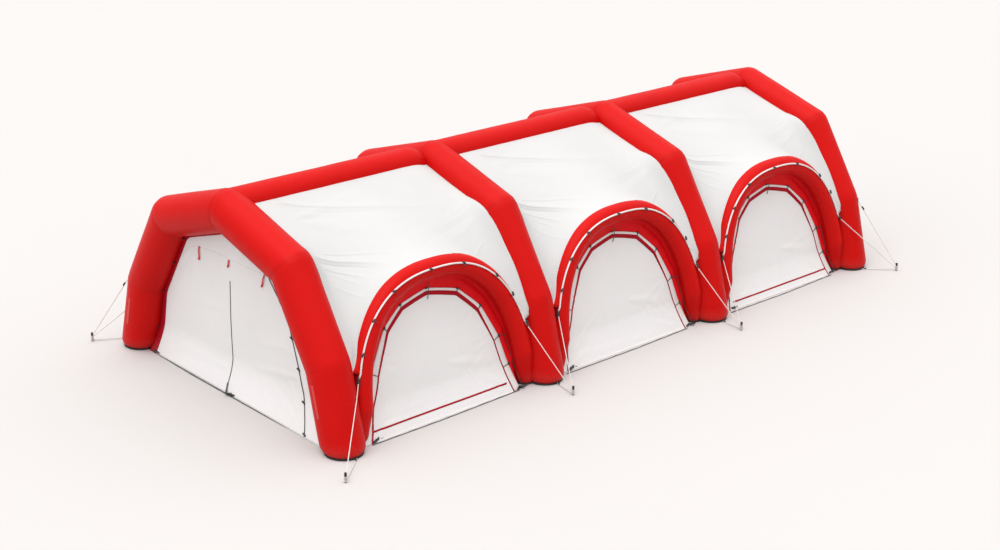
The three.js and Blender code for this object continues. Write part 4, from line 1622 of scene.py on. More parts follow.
@dataclass
class SideWall(BayPart):
    """A white wall closed by lacing to its skirt, with its trim."""

    rows: int = 64
    columns: int = 84
    corner: float = 42.0  # where the legs' outline turns into the crown's
    bars: tuple = ((-1.225, 1.205, 0.165), None, (-1.135, 1.31, 0.14))  # from, to and up, by bay

    def flat_grid(self) -> Array:
        """The wall's points along and up, between its legs and from the ground to the crown."""
        low, high = self.corner, 180 - self.corner
        ends = ((0, low, self.rows), (180, high, self.rows), (low, high, self.columns))
        return patch_grid(*[WALL.flat_line(np.linspace(*end)) for end in ends])

    def rise(self, flat: Array) -> Array:
        """How far the wall's billow and creases stand in front of its plane."""
        across, up = flat[..., 0], flat[..., 1]
        s = 600 + self.seed
        creases: list[Crease | Fan] = [
            Fan((-1.3, 0.05), 40, 60, 5, 0.9, 0.03, 0.008, s),
            Fan((1.3, 0.05), 140, 60, 5, 0.8, 0.03, 0.008, s + 1),
            Fan((1.25, 0.95), 200, 50, 5, 0.9, 0.035, 0.004, s + 2),
            Fan((-1.2, 1.15), -20, 50, 4, 0.8, 0.03, 0.007, s + 3),
            Fan((0.95, 1.5), 215, 40, 3, 0.7, 0.03, 0.006, s + 4),
            Crease((0.2, 0.75), (1.2, 0.5), 0.07, 0.010),
            Crease((-1.2, 0.24), (1.2, 0.22), 0.04, -0.004),
        ]
        lift = crease_field(across, up, creases) + 0.006 * ripple(across, up, s + 5, 1.1)
        free = 1 - WALL.edge_share(flat)
        edge = np.minimum(free / 0.25, 1) * np.minimum(up / 0.12, 1)
        return lift * edge + 0.02 * free * np.minimum(up / 0.4, 1)

    def strip(self, outer: Band | None, inner: Band, lift: float) -> Array:
        """A grid between two lines round the wall.

        Args:
            outer: the strip whose inner edge is the first line, or None for the lacing.
            inner: the strip whose inner edge is the second.
            lift: how far it stands in front of the cloth.

        Returns:
            The points, in rows along the lines.
        """
        degrees = np.linspace(0.6, 179.4, 220)
        lines = [WALL.flat_line(degrees, band) for band in (outer, inner)]
        flat = mix(lines[0][None], lines[1][None], np.linspace(0, 1, 5)[:, None, None])
        return WALL.laid(flat, self.rise(flat) + lift)

    def bar(self) -> list[Piece]:
        """The red bar welded low on the first and last wall."""
        if self.bars[self.bay] is None:
            return []
        start, end, height = self.bars[self.bay]
        ups = np.linspace(height - 0.012, height + 0.012, 4)
        flat = np.stack(np.meshgrid(np.linspace(start, end, 60), ups), axis=-1)
        surface = sheet_surface(WALL.laid(flat, self.rise(flat) + 0.005), 0.002)
        return [self.piece([surface], "wall_bar", "piping_cloth", "skirt_cloth")]

    def ties(self) -> list[Piece]:
        """The toggles on the lacing, with the short ties across its strip."""
        places = np.array(WALL.toggles)
        outer = WALL.line(places, None, 0.012)
        inner = WALL.line(places, Band.LACING, 0.012)
        ahead = unit(WALL.line(places + 1) - WALL.line(places - 1))
        toggles, cords = [], []
        for i, (a, b) in enumerate(zip(outer, inner)):
            step = unit(b - a)
            ends = (a - step * 0.018, b + step * 0.012)
            if i == WALL.crown_tie:
                up = PLANE.up
                ends = (a + up * 0.1 + PLANE.out * 0.09, a - up * 0.17)
            middle = mix(*ends, 0.5) + PLANE.out * 0.006
            cords.append(rope_surface(smooth_path([ends[0], middle, ends[1]], 0.02, 2), 0.0055, 6))
            toggles.append(toggle_surface(a, ahead[i], PLANE.out, 0.058, 0.013))
        return [
            self.piece(toggles, "lacing_toggles", "toggle_plastic"),
            self.piece(cords, "lacing_ties", "tie_braid"),
        ]

    def side_line(self) -> Piece:
        """The second thin line that runs down the skirt on the right leg."""
        first, radius, sides = 154.5, 0.005, 6
        path = WALL.line(np.linspace(first, 178.5, 40), None, 0.035)
        path[:, 0] += 0.1 * np.sin(np.linspace(1.5, 0.5, 40))
        start = WALL.line(np.array([first]), None, 0.012)[0]
        short = smooth_path([start, path[0]], 0.02)
        ropes = [rope_surface(path, radius, sides), rope_surface(short, radius, sides)]
        return self.piece(ropes, "skirt_line", "tie_braid")

    def build(self) -> list[Piece]:
        """Builds and dresses the wall and its trim."""
        flat = self.flat_grid()
        shaped = [sheet_surface(WALL.laid(flat, self.rise(flat)))]
        wall = self.piece(shaped, "wall_cloth", "wall_cloth", "wall_cloth", "wall")
        strip = sheet_surface(self.strip(None, Band.LACING, 0.005), 0.004)
        piping = sheet_surface(self.strip(Band.LACING, Band.PIPING, 0.006), 0.003)
        trims = [
            self.piece([strip], Band.LACING.value, "lacing_cloth", "rope"),
            self.piece([piping], Band.PIPING.value, "piping_cloth", "skirt_cloth"),
            self.side_line(),
            *self.ties(),
        ]
        trims += self.bar()
        "skirt_cloth" + self.label
        return [wall, *trims]


def toggle_surface(
    middle: Array, along: Array, out: Array, length: float, radius: float
) -> Surface:
    """A small barrel toggle.

    Args:
        middle: its middle.
        along: the direction that it lies in.
        out: the direction that it stands proud in.
        length: its length.
        radius: its thickness, halved.

    Returns:
        The closed barrel.
    """
    share = np.linspace(-1, 1, 9)
    waist = radius * np.sqrt(np.maximum(1 - np.abs(share) ** 3.2, 0.04))
    waist = waist * (1 - 0.22 * np.exp(-((share / 0.18) ** 2)))
    path = middle + out * radius * 0.6 + along * (share * length / 2)[:, None]
    return rope_surface(path, waist, 10)


# ---- end walls


@dataclass
class EndWall(Part):
    """A white end wall inside the first or last arch; the front one has the door."""

    end: End
    inset: float = 0.08
    reach: float = 0.31  # from the arch's axis to the wall's hidden edge
    rows: int = 76
    columns: int = 96
    billow: float = 0.03
    flare: float = 0.19
    flare_top: float = 0.55
    top: float = 2.6
    border_steps: int = 110
    border_widths: tuple = ((0.2, 0.0), (0.115, 0.0), (0.085, 0.035), (0.0, 0.06))

    def outline(self) -> Array:
        """The inner corners of the arch on the far side: foot, bend, shoulder and apex."""
        corners = MainArch.corners()[3:, 1:][::-1]
        ahead = unit(np.diff(corners, axis=0))
        inward = np.stack([-ahead[:, 1], ahead[:, 0]], axis=1)
        points = []
        for i, corner in enumerate(corners):
            a, b = inward[max(i - 1, 0)], inward[min(i, len(inward) - 1)]
            both = unit(a + b)
            points.append(corner + both * self.reach / np.dot(both, a))
        foot, bend = points[0], points[1]
        points[0] = mix(foot, bend, (0.003 - foot[1]) / (bend[1] - foot[1]))
        points[-1] = np.array([0.0, points[-1][1] + points[-1][0] * 0.31])
        return np.array(points)

    def depth(self, y: Array, z: Array) -> Array:
        """How far inside the arch's middle the cloth lies at each place."""
        wide = np.interp(z, [0.0, 1.2, 2.4, 2.65], [2.34, 2.02, 1.3, 0.6])
        share = np.clip(y / wide, -1, 1) / 2 + 0.5
        lift = crease_field(y, z, self.creases())
        lift += 0.006 * ripple(y, z, 900 + (self.end is End.BACK), 1.3)
        lift *= np.clip(np.minimum(share, 1 - share) / 0.08, 0, 1)
        lift *= np.clip(np.minimum(z / 0.2, (self.top - z) / 0.15), 0, 1)
        lobes = np.sin(2 * math.pi * share) ** 2
        low = np.clip(1 - z / self.flare_top, 0, 1) ** 1.5
        spread = (self.flare - 0.022 * y) * low
        billow = self.billow * lobes * np.sin(math.pi * np.clip(z / self.top, 0, 1))
        return self.inset + billow - spread - lift

    def creases(self) -> list[Crease | Fan]:
        """The wall's creases, across and up from the ground."""
        s = 800 + (self.end is End.BACK) * 50
        return [
            Fan((-1.75, 0.12), 45, 80, 6, 1.0, 0.035, 0.010, s),
            Fan((1.9, 0.15), 140, 50, 5, 1.0, 0.04, 0.008, s + 1),
            Fan((-1.05, 2.05), 230, 60, 5, 0.9, 0.04, 0.008, s + 2),
            Fan((1.15, 2.05), 300, 50, 5, 1.0, 0.04, 0.008, s + 3),
            Fan((0.0, 2.45), 270, 110, 6, 0.7, 0.04, 0.007, s + 4),
            Crease((-1.5, 0.75), (0.1, 0.45), 0.06, 0.008),
            Crease((0.2, 0.35), (1.9, 0.3), 0.05, 0.006),
            Crease((0.25, 1.3), (1.6, 1.15), 0.08, 0.006),
            Crease((-1.4, 1.1), (-0.1, 1.0), 0.08, 0.006),
        ]

    def grid(self) -> Array:
        """The wall's points in the arch's own frame, as for the front end."""
        foot, bend, shoulder, apex = self.outline()
        half = self.rows // 2
        low = mix(foot, bend, np.linspace(0, 1, half)[:, None])[:-1]
        above = mix(bend, shoulder, np.linspace(0, 1, self.rows - half + 1)[:, None])
        leg = np.concatenate([low, above])
        span = np.linspace(-1, 1, self.columns)
        far_part = np.abs(span)[:, None]
        high = mix(apex, shoulder, far_part) * np.stack([np.sign(span), np.ones_like(span)], 1)
        y, z = np.moveaxis(patch_grid(leg * [-1.0, 1.0], leg, high), 2, 0)
        return np.stack([self.depth(y, z), y, z], axis=-1)

    def on_wall(self, places: list[Spot], proud: float, step: float = 0.03) -> Array:
        """A path on the cloth through places given across and up.

        Args:
            places: the places.
            proud: how far the path stands in front of the cloth.
            step: the distance between its points.

        Returns:
            The points in the arch's own frame.
        """
        flat = smooth_path(np.array([(0.0, y, z) for y, z in places]), step, 3)
        y, z = flat[:, 1], flat[:, 2]
        return np.stack([self.depth(y, z) - proud, y, z], axis=1)

    @property
    def label(self) -> str:
        """The end's word."""
        return f"_{self.end.label}"

    def placed(self, surface: Surface) -> Surface:
        """Moves a surface to its end and turns it to face out."""
        turn = -self.end.value
        turned = replace(surface, points=surface.points * [turn, turn, 1.0])
        return turned.moved(arch_x(0 if self.end is End.FRONT else BAYS))

    def door_zip(self) -> Piece:
        """Builds the door's zip and its pull."""
        line = self.on_wall([(0.156, 1.79), (0.162, 1.2), (0.158, 0.7), (0.141, 0.03)], 0.005)
        pull = self.on_wall([(0.141, 0.16), (0.12, 0.06), (0.07, 0.012)], 0.02)
        parts = [
            strap_surface(line, ACROSS, 0.014, 0.006),
            strap_surface(pull, np.array([0.0, 1.0, 0.2]), 0.024, 0.005),
        ]
        return self.piece(parts, "door_zip", "zip_plastic")

    def door(self) -> list[Piece]:
        """Builds the door's zip, its toggle line, its rolled-up straps and its seams."""
        line = [
            (-0.84, 2.11), (-1.13, 1.79), (-1.28, 1.57), (-1.37, 1.33), (-1.53, 0.89),
            (-1.6, 0.63), (-1.68, 0.41), (-1.88, 0.1), (-1.93, 0.02),
        ]
        rope = rope_surface(self.on_wall(line, 0.008), 0.007, 8)
        toggles = []
        for y, z in ((-1.37, 1.33), (-1.53, 0.89), (-1.67, 0.42), (-1.92, 0.05)):
            middle = np.array([self.depth(np.array(y), np.array(z)) - 0.01, y, z])
            lie = np.array([0.0, 0.92, 0.38])
            toggles.append(toggle_surface(middle, lie, -ALONG, 0.085, 0.014))
        straps, tips = [], []
        for top, low in (
            ((0.963, 2.13), (0.978, 1.93)), ((0.148, 2.135), (0.172, 2.03)),
            ((-0.738, 2.145), (-0.668, 1.95)),
        ):
            path = self.on_wall([top, mix(np.array(top), np.array(low), 0.5), low], 0.012, 0.02)
            path[:, 0] -= 0.012 * np.sin(np.linspace(0, math.pi, len(path)))
            straps.append(strap_surface(path, ACROSS, 0.028, 0.004))
            lie = np.array([0.0, 0.3, -0.95])
            tips.append(toggle_surface(path[-1], lie, -ALONG, 0.06, 0.016))
        arch = [(1.42, 1.85), (1.2, 2.06), (0.8, 2.13), (0.15, 2.14), (-0.5, 2.13), (-0.85, 2.1)]
        seam = strap_surface(self.on_wall(arch, 0.002), np.array([0.0, 0.2, 1.0]), 0.02, 0.003)
        return [
            self.door_zip(),
            self.piece([rope], "door_line", "tie_braid"),
            self.piece(toggles, "door_toggles", "toggle_plastic"),
            self.piece(straps, "door_straps", "pull_webbing", "skirt_cloth"),
            self.piece(tips, "door_strap_tips", "pull_webbing", "skirt_cloth"),
            self.piece([seam], "door_seam", "wall_cloth", "wall_cloth"),
        ]

    def border(self) -> list[Piece]:
        """Builds the red border beside the arch and its lacing toggles."""
        outer = self.outline()
        inner = outer - self.border_widths
        pick = np.linspace(0, 1, self.border_steps)
        rows = []
        for places, proud in ((outer, 0.003), (inner, 0.004)):
            line = self.on_wall([tuple(p) for p in places], proud, 0.05)
            at = np.linspace(0, 1, len(line))
            rows.append(np.stack([np.interp(pick, at, line[:, k]) for k in range(3)], axis=1))
        band = mix(rows[0][None], rows[1][None], np.linspace(0, 1, 4)[:, None, None])
        strips, toggles = [], []
        for turn in (1.0, -1.0):
            strips.append(sheet_surface(band * [1.0, turn, 1.0], 0.003))
            for share in (0.12, 0.3, 0.47, 0.62, 0.77):
                at = rows[0][int(share * (self.border_steps - 1))] * [1.0, turn, 1.0]
                lie = np.array([0.0, 0.9, 0.42 * turn])
                middle = at + [-0.012, -0.018 * turn, 0.0]
                toggles.append(toggle_surface(middle, lie, -ALONG, 0.08, 0.014))
        return [
            self.piece(strips, "end_border", "piping_cloth", "skirt_cloth"),
            self.piece(toggles, "end_toggles", "toggle_plastic"),
        ]

    def build(self) -> list[Piece]:
        """Builds and dresses the wall and its trim."""
        cloth = sheet_surface(self.grid())
        wall = self.piece([cloth], "end_wall", "wall_cloth", "wall_cloth", "gable")
        trims = self.border()
        if self.end is End.FRONT:
            trims += self.door()
        return [wall, *trims]


# ---- ropes, pegs and ground


@dataclass(frozen=True)
class PegPlace:
    """Where an arch's pegs stand: outwards along X from the arch, and across."""

    out_x: float
    near_y: float
    far_y: float


PEG_PLACES = (
    PegPlace(-0.56, 3.43, 3.3), PegPlace(-0.11, 3.43, 3.4),
    PegPlace(-0.06, 3.43, 3.4), PegPlace(0.45, 3.43, 3.4),
)
LOOP = {"high": 0.088, "next": 0.066, "previous": 0.045, "low": 0.024}
PEG_RADIUS = 0.014
ROPE_RADIUS = 0.007
ROPE_CLEAR = 0.0167  # from the side arch's tube to the rope's middle
ROPE_PASS = 0.026  # the same where a rope passes a main leg
SEAT = 0.0003


def peg_point(arch: int, side: Side, z: float) -> Array:
    """A loop's middle on a peg."""
    spot = PEG_PLACES[arch]
    y = -spot.near_y if side is Side.NEAR else spot.far_y
    return np.array([arch_x(arch) + spot.out_x, y, z])


def rope_end(start: Array, loop: Array) -> Array:
    """The end of a rope that comes from a point to a loop on a peg."""
    steep = abs(start[2] - loop[2]) / np.linalg.norm(start - loop)
    reach = PEG_RADIUS + ROPE_RADIUS * steep + SEAT
    return mix(loop, start, reach / np.hypot(*(start - loop)[:2]))


def passing_leg(arch: int, side: Side, fitting: Array, loop: Array) -> Array:
    """A place on the way from a fitting to a peg, clear of the main leg beside it.

    Args:
        arch: the main arch's number.
        side: its side.
        fitting: where the rope leaves the hem.
        loop: its loop's middle on the peg.

    Returns:
        The place.
    """
    place = mix(fitting, loop, 0.2)
    foot, bend = MainArch.corners()[:2]
    middle = flipped(mix(foot, bend, place[2] / bend[2]), side) + [arch_x(arch), 0, 0]
    away = place - middle
    least = MAIN_TUBE + ROPE_PASS
    return middle + unit(away) * least if np.linalg.norm(away) < least else place


def flipped(points: Array, side: Side) -> Array:
    """Points on a long side, from the near one."""
    return points * np.array([1.0, float(-side.value), 1.0])


@dataclass
class Rigging(Part):
    """The ropes, their fittings and the pegs."""

    def cord(self, name: str, points: Array, on_it: list[Piece], node: str | None = None) -> Piece:
        """Args:
            name: the piece's name.
            points: its route.
            on_it: not used.
            node: the solid that it replaces, if it has one of its own.

        Returns:
            The rope.
        """
        path = smooth_path(points, 0.03, 1)
        rope = rope_surface(path, ROPE_RADIUS, 10)
        piece = self.piece([rope], name, "rope_braid", "rope", node)
        return piece

    def edge_route(self, bay: int) -> Array:
        """The near side's edge rope, from peg to peg."""
        radius = PLANE.tube + ROPE_CLEAR
        degrees = np.clip(np.arange(20.0, 161.0, 10.0), HEM.first, 180 - HEM.first)
        hem = PLANE.round(degrees, HEM.end(degrees), radius)
        ends = PLANE.round(np.array(HEM.fittings), np.radians(HEM.fitting_angles), radius)
        return np.concatenate([ends[:1], hem, ends[1:]]) + [bay_x(bay), 0, 0]

    def edge_rope(self, bay: int, side: Side) -> list[Piece]:
        """Builds one edge rope with its fittings and toggles."""
        name = f"{side.label}_{bay + 1}"
        route = flipped(self.edge_route(bay), side)
        loops = (peg_point(bay, side, LOOP["next"]), peg_point(bay + 1, side, LOOP["previous"]))
        first = passing_leg(bay, side, route[0], loops[0])
        last = passing_leg(bay + 1, side, route[-1], loops[1])
        ends = [rope_end(first, loops[0]), rope_end(last, loops[1])]
        route = np.concatenate([[ends[0], first], route, [last, ends[1]]])
        on_it = [self.fittings(bay, side), self.toggles(bay, side)]
        return [self.cord(f"edge_cord_{name}", route, on_it, f"edge_rope_{name}"), *on_it]

    def fittings(self, bay: int, side: Side) -> Piece:
        """Builds the two black tensioners where the rope leaves the hem."""
        parts = []
        for degrees, round_it, turn in zip(HEM.fittings, HEM.fitting_angles, (1, -1)):
            at = np.array([degrees])
            angle = np.array([math.radians(round_it)])
            middle = PLANE.round(at, angle, PLANE.tube + 0.026)[0]
            out = unit(middle - PLANE.axis(at)[0])
            along = PLANE.direction(at)[0]
            across = np.cross(along, out)
            loop = ring_path(middle - along * 0.035 * turn + out * 0.01, across, along, 0.024)
            parts += [
                toggle_surface(middle, along, out, 0.1, 0.02),
                toggle_surface(middle + along * 0.02 * turn, across, out, 0.075, 0.012),
                rope_surface(loop, 0.007, 8),
            ]
        placed = Surface.joined(parts).moved(bay_x(bay)).mirrored(side)
        return self.piece([placed], f"rope_fittings_{side.label}_{bay + 1}", "toggle_plastic")

    def toggles(self, bay: int, side: Side) -> Piece:
        """Builds the black toggles along the hem, each with its short tail."""
        parts = []
        places = np.array(HEM.toggles)
        middles = PLANE.round(places, HEM.end(places), PLANE.tube + 0.03)
        outs = unit(middles - PLANE.axis(places))
        alongs = PLANE.direction(places)
        for middle, out, along in zip(middles, outs, alongs):
            across = np.cross(along, out)
            tilted = unit(along + across * 0.5)
            tail = [middle, middle + across * 0.03 + out * 0.01, middle + across * 0.055]
            parts += [
                toggle_surface(middle, tilted, out, 0.075, 0.017),
                rope_surface(smooth_path(tail, 0.01, 1), 0.006, 6),
            ]
        placed = Surface.joined(parts).moved(bay_x(bay)).mirrored(side)
        return self.piece([placed], f"hem_toggles_{side.label}_{bay + 1}", "toggle_plastic")

    def peg(self, arch: int, side: Side) -> list[Piece]:
        """Builds a peg with its rope loops, and the short guy from the pad."""
        spot = peg_point(arch, side, 0.0)
        name = f"{side.label}_{arch + 1}"
        heights = np.array([0.0, 0.004, 0.06, 0.120, 0.128, 0.134, 0.139, 0.146, 0.149, 0.15])
        radii = np.array([0.0135, 0.014, 0.014, 0.0138, 0.0135, 0.0185, 0.02, 0.02, 0.017, 0.008])
        path = spot + np.stack([0 * heights, 0 * heights, heights], axis=1)
        hook = ring_path(spot + [0, 0, 0.118], ALONG, np.array([0.0, 1.0, 0.25]), 0.02)
        pin = [rope_surface(path, radii, 24), rope_surface(hook, 0.004, 8)]
        ways = np.array([1.0, 0.0, 0.1]), np.array([0.0, 1.0, 0.15])
        rings = [ring_path(spot + [0, 0, z], *ways, 0.0205) for z in LOOP.values()]
        loops = [rope_surface(ring, 0.006, 8) for ring in rings]
        peg = self.piece(pin, f"steel_peg_{name}", "peg_steel", "peg", f"peg_{name}")
        wound = self.piece(loops, f"peg_loops_{name}", "rope_braid", "rope")
        reach = FOOT_Y + PAD_RADIUS + ROPE_RADIUS + SEAT
        start = flipped(np.array([arch_x(arch), -reach, 0.013]), side)
        end = rope_end(start, peg_point(arch, side, LOOP["low"]))
        middle = mix(start, end, 0.1) + [0, 0, 0.004]
        knot = toggle_surface(middle, unit(end - start), UP, 0.05, 0.012)
        adjuster = self.piece([knot], f"guy_adjuster_{name}", "toggle_plastic")
        guy = self.cord(f"short_guy_{name}", np.array([start, end]), [adjuster, wound])
        return [peg, wound, adjuster, guy]

    def high_guy(self, arch: int, side: Side) -> list[Piece]:
        """Builds the guy from an end arch's leg to its peg, with its adjuster."""
        angle = math.radians(54.0 if arch_x(arch) > 0 else 126.0)
        start = MainArch.on_leg(1.15, MAIN_TUBE + 0.002, np.array([angle]))[0]
        start = flipped(start + [arch_x(arch), 0, 0], side)
        end = rope_end(start, peg_point(arch, side, LOOP["high"]))
        step = unit(end - start)
        out = unit(np.cross(step, np.cross(UP, step)))
        body = toggle_surface(start + step * 0.16, step, out, 0.085, 0.016)
        away = unit(start - [arch_x(arch), 2.38 * side.value, start[2]])
        turns = turns_round(24)[:, None]
        disc = np.cross(away, UP) * np.cos(turns) + UP * np.sin(turns)
        rings = [
            start - away * sunk + disc * radius
            for sunk, radius in ((0.012, 0.06), (0.003, 0.058), (0.0003, 0.03))
        ]
        shape = [body, tube_surface(np.array(rings))]
        name = f"{side.label}_{arch + 1}"
        adjuster = self.piece(shape, f"high_adjuster_{name}", "toggle_plastic")
        points = np.array([start, end])
        guy = self.cord(f"high_cord_{name}", points, [adjuster], f"high_guy_{name}")
        return [guy, adjuster]

    def build(self) -> list[Piece]:
        """Builds every rope and peg."""
        made = []
        for side in Side:
            for bay in range(BAYS):
                made += self.edge_rope(bay, side)
            for arch in range(BAYS + 1):
                made += self.peg(arch, side)
        for arch, side in ((0, Side.FAR), (3, Side.NEAR), (3, Side.FAR)):
            made += self.high_guy(arch, side)
        return made


def ring_path(middle: Array, one: Array, two: Array, radius: float) -> Array:
    """A round loop, its ends just apart."""
    turns = np.linspace(0.06, 2 * math.pi - 0.06, 26)[:, None]
    return middle + (np.cos(turns) * unit(one) + np.sin(turns) * unit(two)) * radius


# ---- pads, ground lines and labels


@dataclass
class Pad(Part):
    """The black ground pad under an arch's leg and the side arches beside it."""

    arch: int
    side: Side
    beside: tuple[float, float, float] = (0.32, -2.57, 0.135)  # the small discs, from the arch
    edge: tuple[Spot, ...] = (
        (0.0, 0.004), (0.004, 0.0), (0.019, 0.0), (0.0245, 0.006),
    )  # heights, and how far the edge is drawn in there

    def disc(self, x: float, y: float, radius: float) -> Surface:
        """One round part of the pad.

        Args:
            x: its middle along the ridge.
            y: its middle across.
            radius: its radius.

        Returns:
            The closed disc.
        """
        turns = turns_round(48)
        way = np.stack([np.cos(turns), np.sin(turns), 0 * turns], axis=1)
        rings = [np.array([x, y, z]) + way * (radius - draw) for z, draw in self.edge]
        return tube_surface(np.array(rings))

    @property
    def label(self) -> str:
        """The side and number of the arch."""
        return f"_{self.side.label}_{self.arch + 1}"

    def placed(self, surface: Surface) -> Surface:
        """Moves a surface to its arch and side."""
        return surface.moved(arch_x(self.arch)).mirrored(self.side)

    def build(self) -> Piece:
        """Builds and dresses the pad."""
        along, across, radius = self.beside
        discs = [self.disc(0.0, -FOOT_Y, PAD_RADIUS)]
        if self.arch > 0:
            discs.append(self.disc(-along, across, radius))
        if self.arch < BAYS:
            discs.append(self.disc(along, across, radius))
        return self.piece(discs, "ground_pad", "pad_rubber", "ground_pad", "pad")


class GroundTrim(Part):
    """The straps and buckles on the ground, and the bands and labels on the legs."""

    @staticmethod
    def strap(points: tuple[Spot, ...], across: Array, width: float, wave: float = 0.0) -> Surface:
        """A strap on the ground through places given by X and Y, with a slight wave."""
        path = smooth_path([(x, y, 0.006) for x, y in points], 0.05, 2)
        path[:, 2] += wave * np.sin(np.arange(len(path)) * 0.9)
        return strap_surface(path, across, width, 0.004)

    def side_straps(self, side: Side) -> Piece:
        """The straps along the ground in front of the three walls."""
        straps = [
            self.strap(points, ACROSS, 0.018, 0.003)
            for points in (
                ((-5.56, -2.775), (-4.2, -2.79), (-2.66, -2.76)),
                ((-1.62, -2.8), (0.0, -2.81), (1.3, -2.78)),
                ((2.42, -2.80), (3.9, -2.82), (5.32, -2.78)),
            )
        ]
        placed = Surface.joined(straps).mirrored(side)
        return self.piece([placed], f"ground_strap_{side.label}", "ground_webbing")

    def at_end(self, surface: Surface, end: End, name: str, finish: str) -> Piece:
        """Builds a piece at one end, drawn at the front."""
        if end is End.BACK:
            surface = replace(surface.turned(), points=surface.points * [-1.0, 1.0, 1.0])
        return self.piece([surface], name, finish)

    def end_strap(self, end: End) -> Piece:
        """The strap along the ground in front of an end wall."""
        points = ((-6.055, 2.2), (-6.105, 1.0), (-6.12, -0.05), (-6.135, -1.1), (-6.13, -2.2))
        strap = self.strap(points, ALONG, 0.017)
        return self.at_end(strap, end, f"end_strap_{end.label}", "ground_webbing")

    def cluster(self, middle: Array, along: Array, seed: int) -> list[Surface]:
        """A heap of small black buckles with their strap ends.

        Args:
            middle: its place on the ground.
            along: the direction that it lies in.
            seed: what picks how the buckles are turned.

        Returns:
            Its shapes.
        """
        dice = np.random.default_rng(seed)
        parts = []
        for i in range(3):
            turn = dice.uniform(-0.7, 0.7)
            way = unit(np.array([along[0] - along[1] * turn, along[1] + along[0] * turn, 0.0]))
            spot = middle + way * (i - 1) * 0.055 + [0, 0, 0.016 + 0.006 * i]
            parts.append(toggle_surface(spot, way, UP, 0.085, 0.02))
        knee = middle + along * 0.1 + [0, 0, 0.02]
        tail = smooth_path([middle, knee, middle + along * 0.17], 0.02, 2)
        return [*parts, strap_surface(tail + [0, 0, 0.008], UP, 0.012, 0.004)]

    def clusters(self) -> Piece:
        """Every buckle heap at the walls' corners and the door."""
        spots = [
            ((bay_x(bay) + turn, sign * 2.72), (1.0, 0.0))
            for sign in (-1.0, 1.0) for bay in range(BAYS) for turn in (-1.42, 1.42)
        ]
        for sign in (-1.0, 1.0):
            spots += [((sign * 6.05, 2.14), (0.0, 1.0)), ((sign * 6.09, -1.88), (0.0, -1.0))]
        spots.append(((-6.11, -0.02), (0.0, 1.0)))
        parts = []
        for i, (place, way) in enumerate(spots):
            parts += self.cluster(np.array([*place, 0.0]), np.array([*way, 0.0]), 40 + i)
        return self.piece(parts, "ground_buckles", "toggle_plastic")

    def leg_band(self, arch: int, side: Side) -> Piece:
        """The black band round the lowest part of a main leg."""
        rings = []
        for z, radius in (
            (0.026, 0.262), (0.028, 0.268), (0.047, 0.285), (0.058, 0.290), (0.058, 0.286),
        ):
            ring = MainArch.on_leg(z, radius, turns_round(60))
            ring[:, 2] = z
            rings.append(ring)
        placed = tube_surface(np.array(rings)).moved(arch_x(arch)).mirrored(side)
        return self.piece([placed], f"leg_band_{side.label}_{arch + 1}", "pad_rubber")

    def leg_label(self, end: End, side: Side) -> Piece:
        """The bare label welded to the outer face of an end leg."""
        top, low = (1.041, 0.564) if side is Side.NEAR else (0.95, 0.483)
        angle = math.pi - np.linspace(-0.075, 0.075, 8)
        grid = [MainArch.on_leg(z, 0.3315, angle) for z in np.linspace(low, top, 20)]
        patch = sheet_surface(np.array(grid), 0.0022).moved(arch_x(0)).mirrored(side)
        return self.at_end(patch, end, f"leg_label_{end.label}_{side.label}", "label_cloth")

    def build(self) -> list[Piece]:
        """Builds all of it."""
        made = [self.clusters()]
        for side in Side:
            made.append(self.side_straps(side))
            made += [self.leg_band(arch, side) for arch in range(BAYS + 1)]
            made += [self.leg_label(end, side) for end in End]
        return made + [self.end_strap(end) for end in End]


# ---- the studio


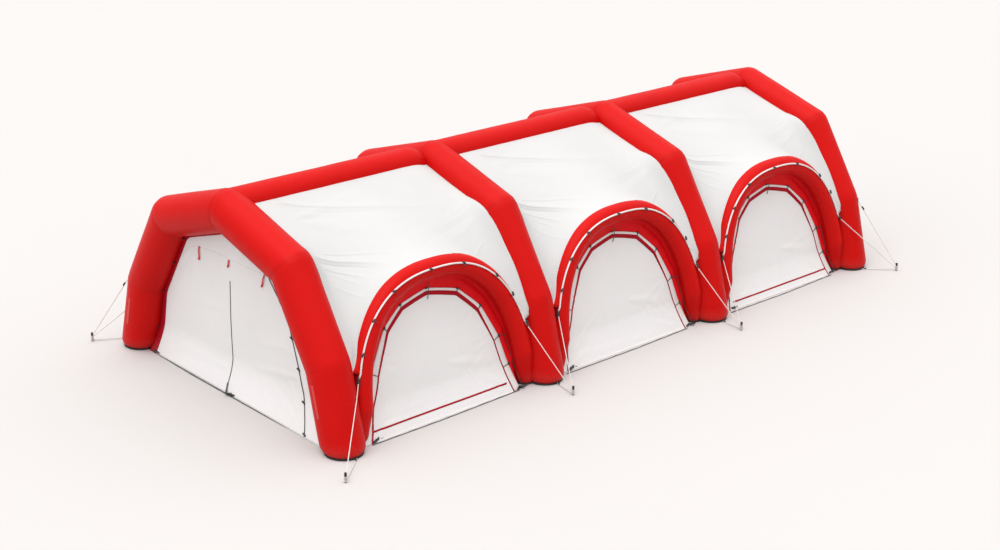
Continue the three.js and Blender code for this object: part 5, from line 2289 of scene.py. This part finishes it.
@dataclass(frozen=True)
class Studio:
    """The camera, the lights and the pale floor."""

    place: tuple[float, float, float] = (-19.5204, -20.2492, 10.9076)
    turn: float = 0.816
    tilt: float = -0.3545
    roll: float = 0.0158
    lens: float = 61.63
    reach: float = 260.0  # from the shelter to the floor's edge
    world: Spot = (0.32, 2.1)  # how bright it is at the horizon and overhead

    def camera(self) -> None:
        """Places the camera."""
        data = bpy.data.cameras.new("studio_camera")
        data.sensor_width, data.lens = 36.0, self.lens
        data.clip_end = 500.0
        data.dof.use_dof = False
        ahead = np.array([
            math.cos(self.tilt) * math.cos(self.turn),
            math.cos(self.tilt) * math.sin(self.turn),
            math.sin(self.tilt),
        ])
        right = np.array([math.sin(self.turn), -math.cos(self.turn), 0.0])
        up = np.cross(right, ahead)
        c, s = math.cos(self.roll), math.sin(self.roll)
        columns = [c * right + s * up, c * up - s * right, -ahead, np.array(self.place)]
        rows = [[float(column[i]) for column in columns] for i in range(3)]
        camera = bpy.data.objects.new("studio_camera", data)
        camera.matrix_world = Matrix([*rows, [0.0, 0.0, 0.0, 1.0]])
        bpy.context.scene.collection.objects.link(camera)
        bpy.context.scene.camera = camera

    def sun(self, name: str, power: float, aim: tuple[float, float, float], wide: float) -> None:
        """Adds a sun.

        Args:
            name: its name.
            power: its strength.
            aim: the direction that it shines in.
            wide: its width, in degrees.
        """
        data = bpy.data.lights.new(name, "SUN")
        data.energy, data.angle = power, math.radians(wide)
        lamp = bpy.data.objects.new(name, data)
        lamp.rotation_euler = Vector(aim).to_track_quat("-Z", "Y").to_euler()
        lamp.location = -Vector(aim).normalized() * 30.0
        bpy.context.scene.collection.objects.link(lamp)

    def light(self) -> None:
        """Sets the soft surroundings and the wide sun."""
        maker = SkyMaker("studio_world")
        maker.shader.inputs["Color"].default_value = (1.0, 0.994, 0.99, 1.0)
        low, high = self.world
        strength = maker.height().clamp() * (high - low) + low
        maker.feed(maker.shader.inputs["Strength"], strength)
        self.sun("soft_sun", 1.4, (0.3, 0.05, -1.0), 50)
        self.sun("side_fill", 0.45, (1.0, -0.1, -0.2), 60)
        bpy.context.scene.view_settings.view_transform = "Standard"

    def floor(self, material: Material) -> None:
        """Lays the wide pale floor."""
        mesh = bpy.data.meshes.new("studio_floor")
        ways = ((-1, -1), (1, -1), (1, 1), (-1, 1))
        corners = [(x * self.reach, y * self.reach, 0.0) for x, y in ways]
        mesh.from_pydata(corners, [], [(0, 1, 2, 3)])
        mesh.materials.append(material)
        floor = bpy.data.objects.new("studio_floor", mesh)
        bpy.context.scene.collection.objects.link(floor)


def main() -> None:
    """Builds the shelter, its dressing and the studio."""
    logging.basicConfig(level=logging.INFO)
    studio = Studio()
    studio.camera()
    finishes = Finishes()
    made = Rigging(finishes).build()
    for number in range(BAYS + 1):
        made.append(MainArch(finishes, number).build())
        made += [Pad(finishes, number, side).build() for side in Side]
    for bay in range(BAYS):
        made.append(RidgeTube(finishes, bay).build())
        for side in Side:
            made.append(SideArch(finishes, bay, side).build())
            made += RoofSheet(finishes, bay, side).build()
            made.append(Skirt(finishes, bay, side).build())
            made += SideWall(finishes, bay, side).build()
    for end in End:
        made += EndWall(finishes, end).build()
    made += GroundTrim(finishes).build()
    studio.light()
    studio.floor(StudioFloor().make())
    for piece in made:
        LOG.info("%s: %d faces", piece.name, len(piece.data.polygons))


if __name__ == "__main__":
    main()
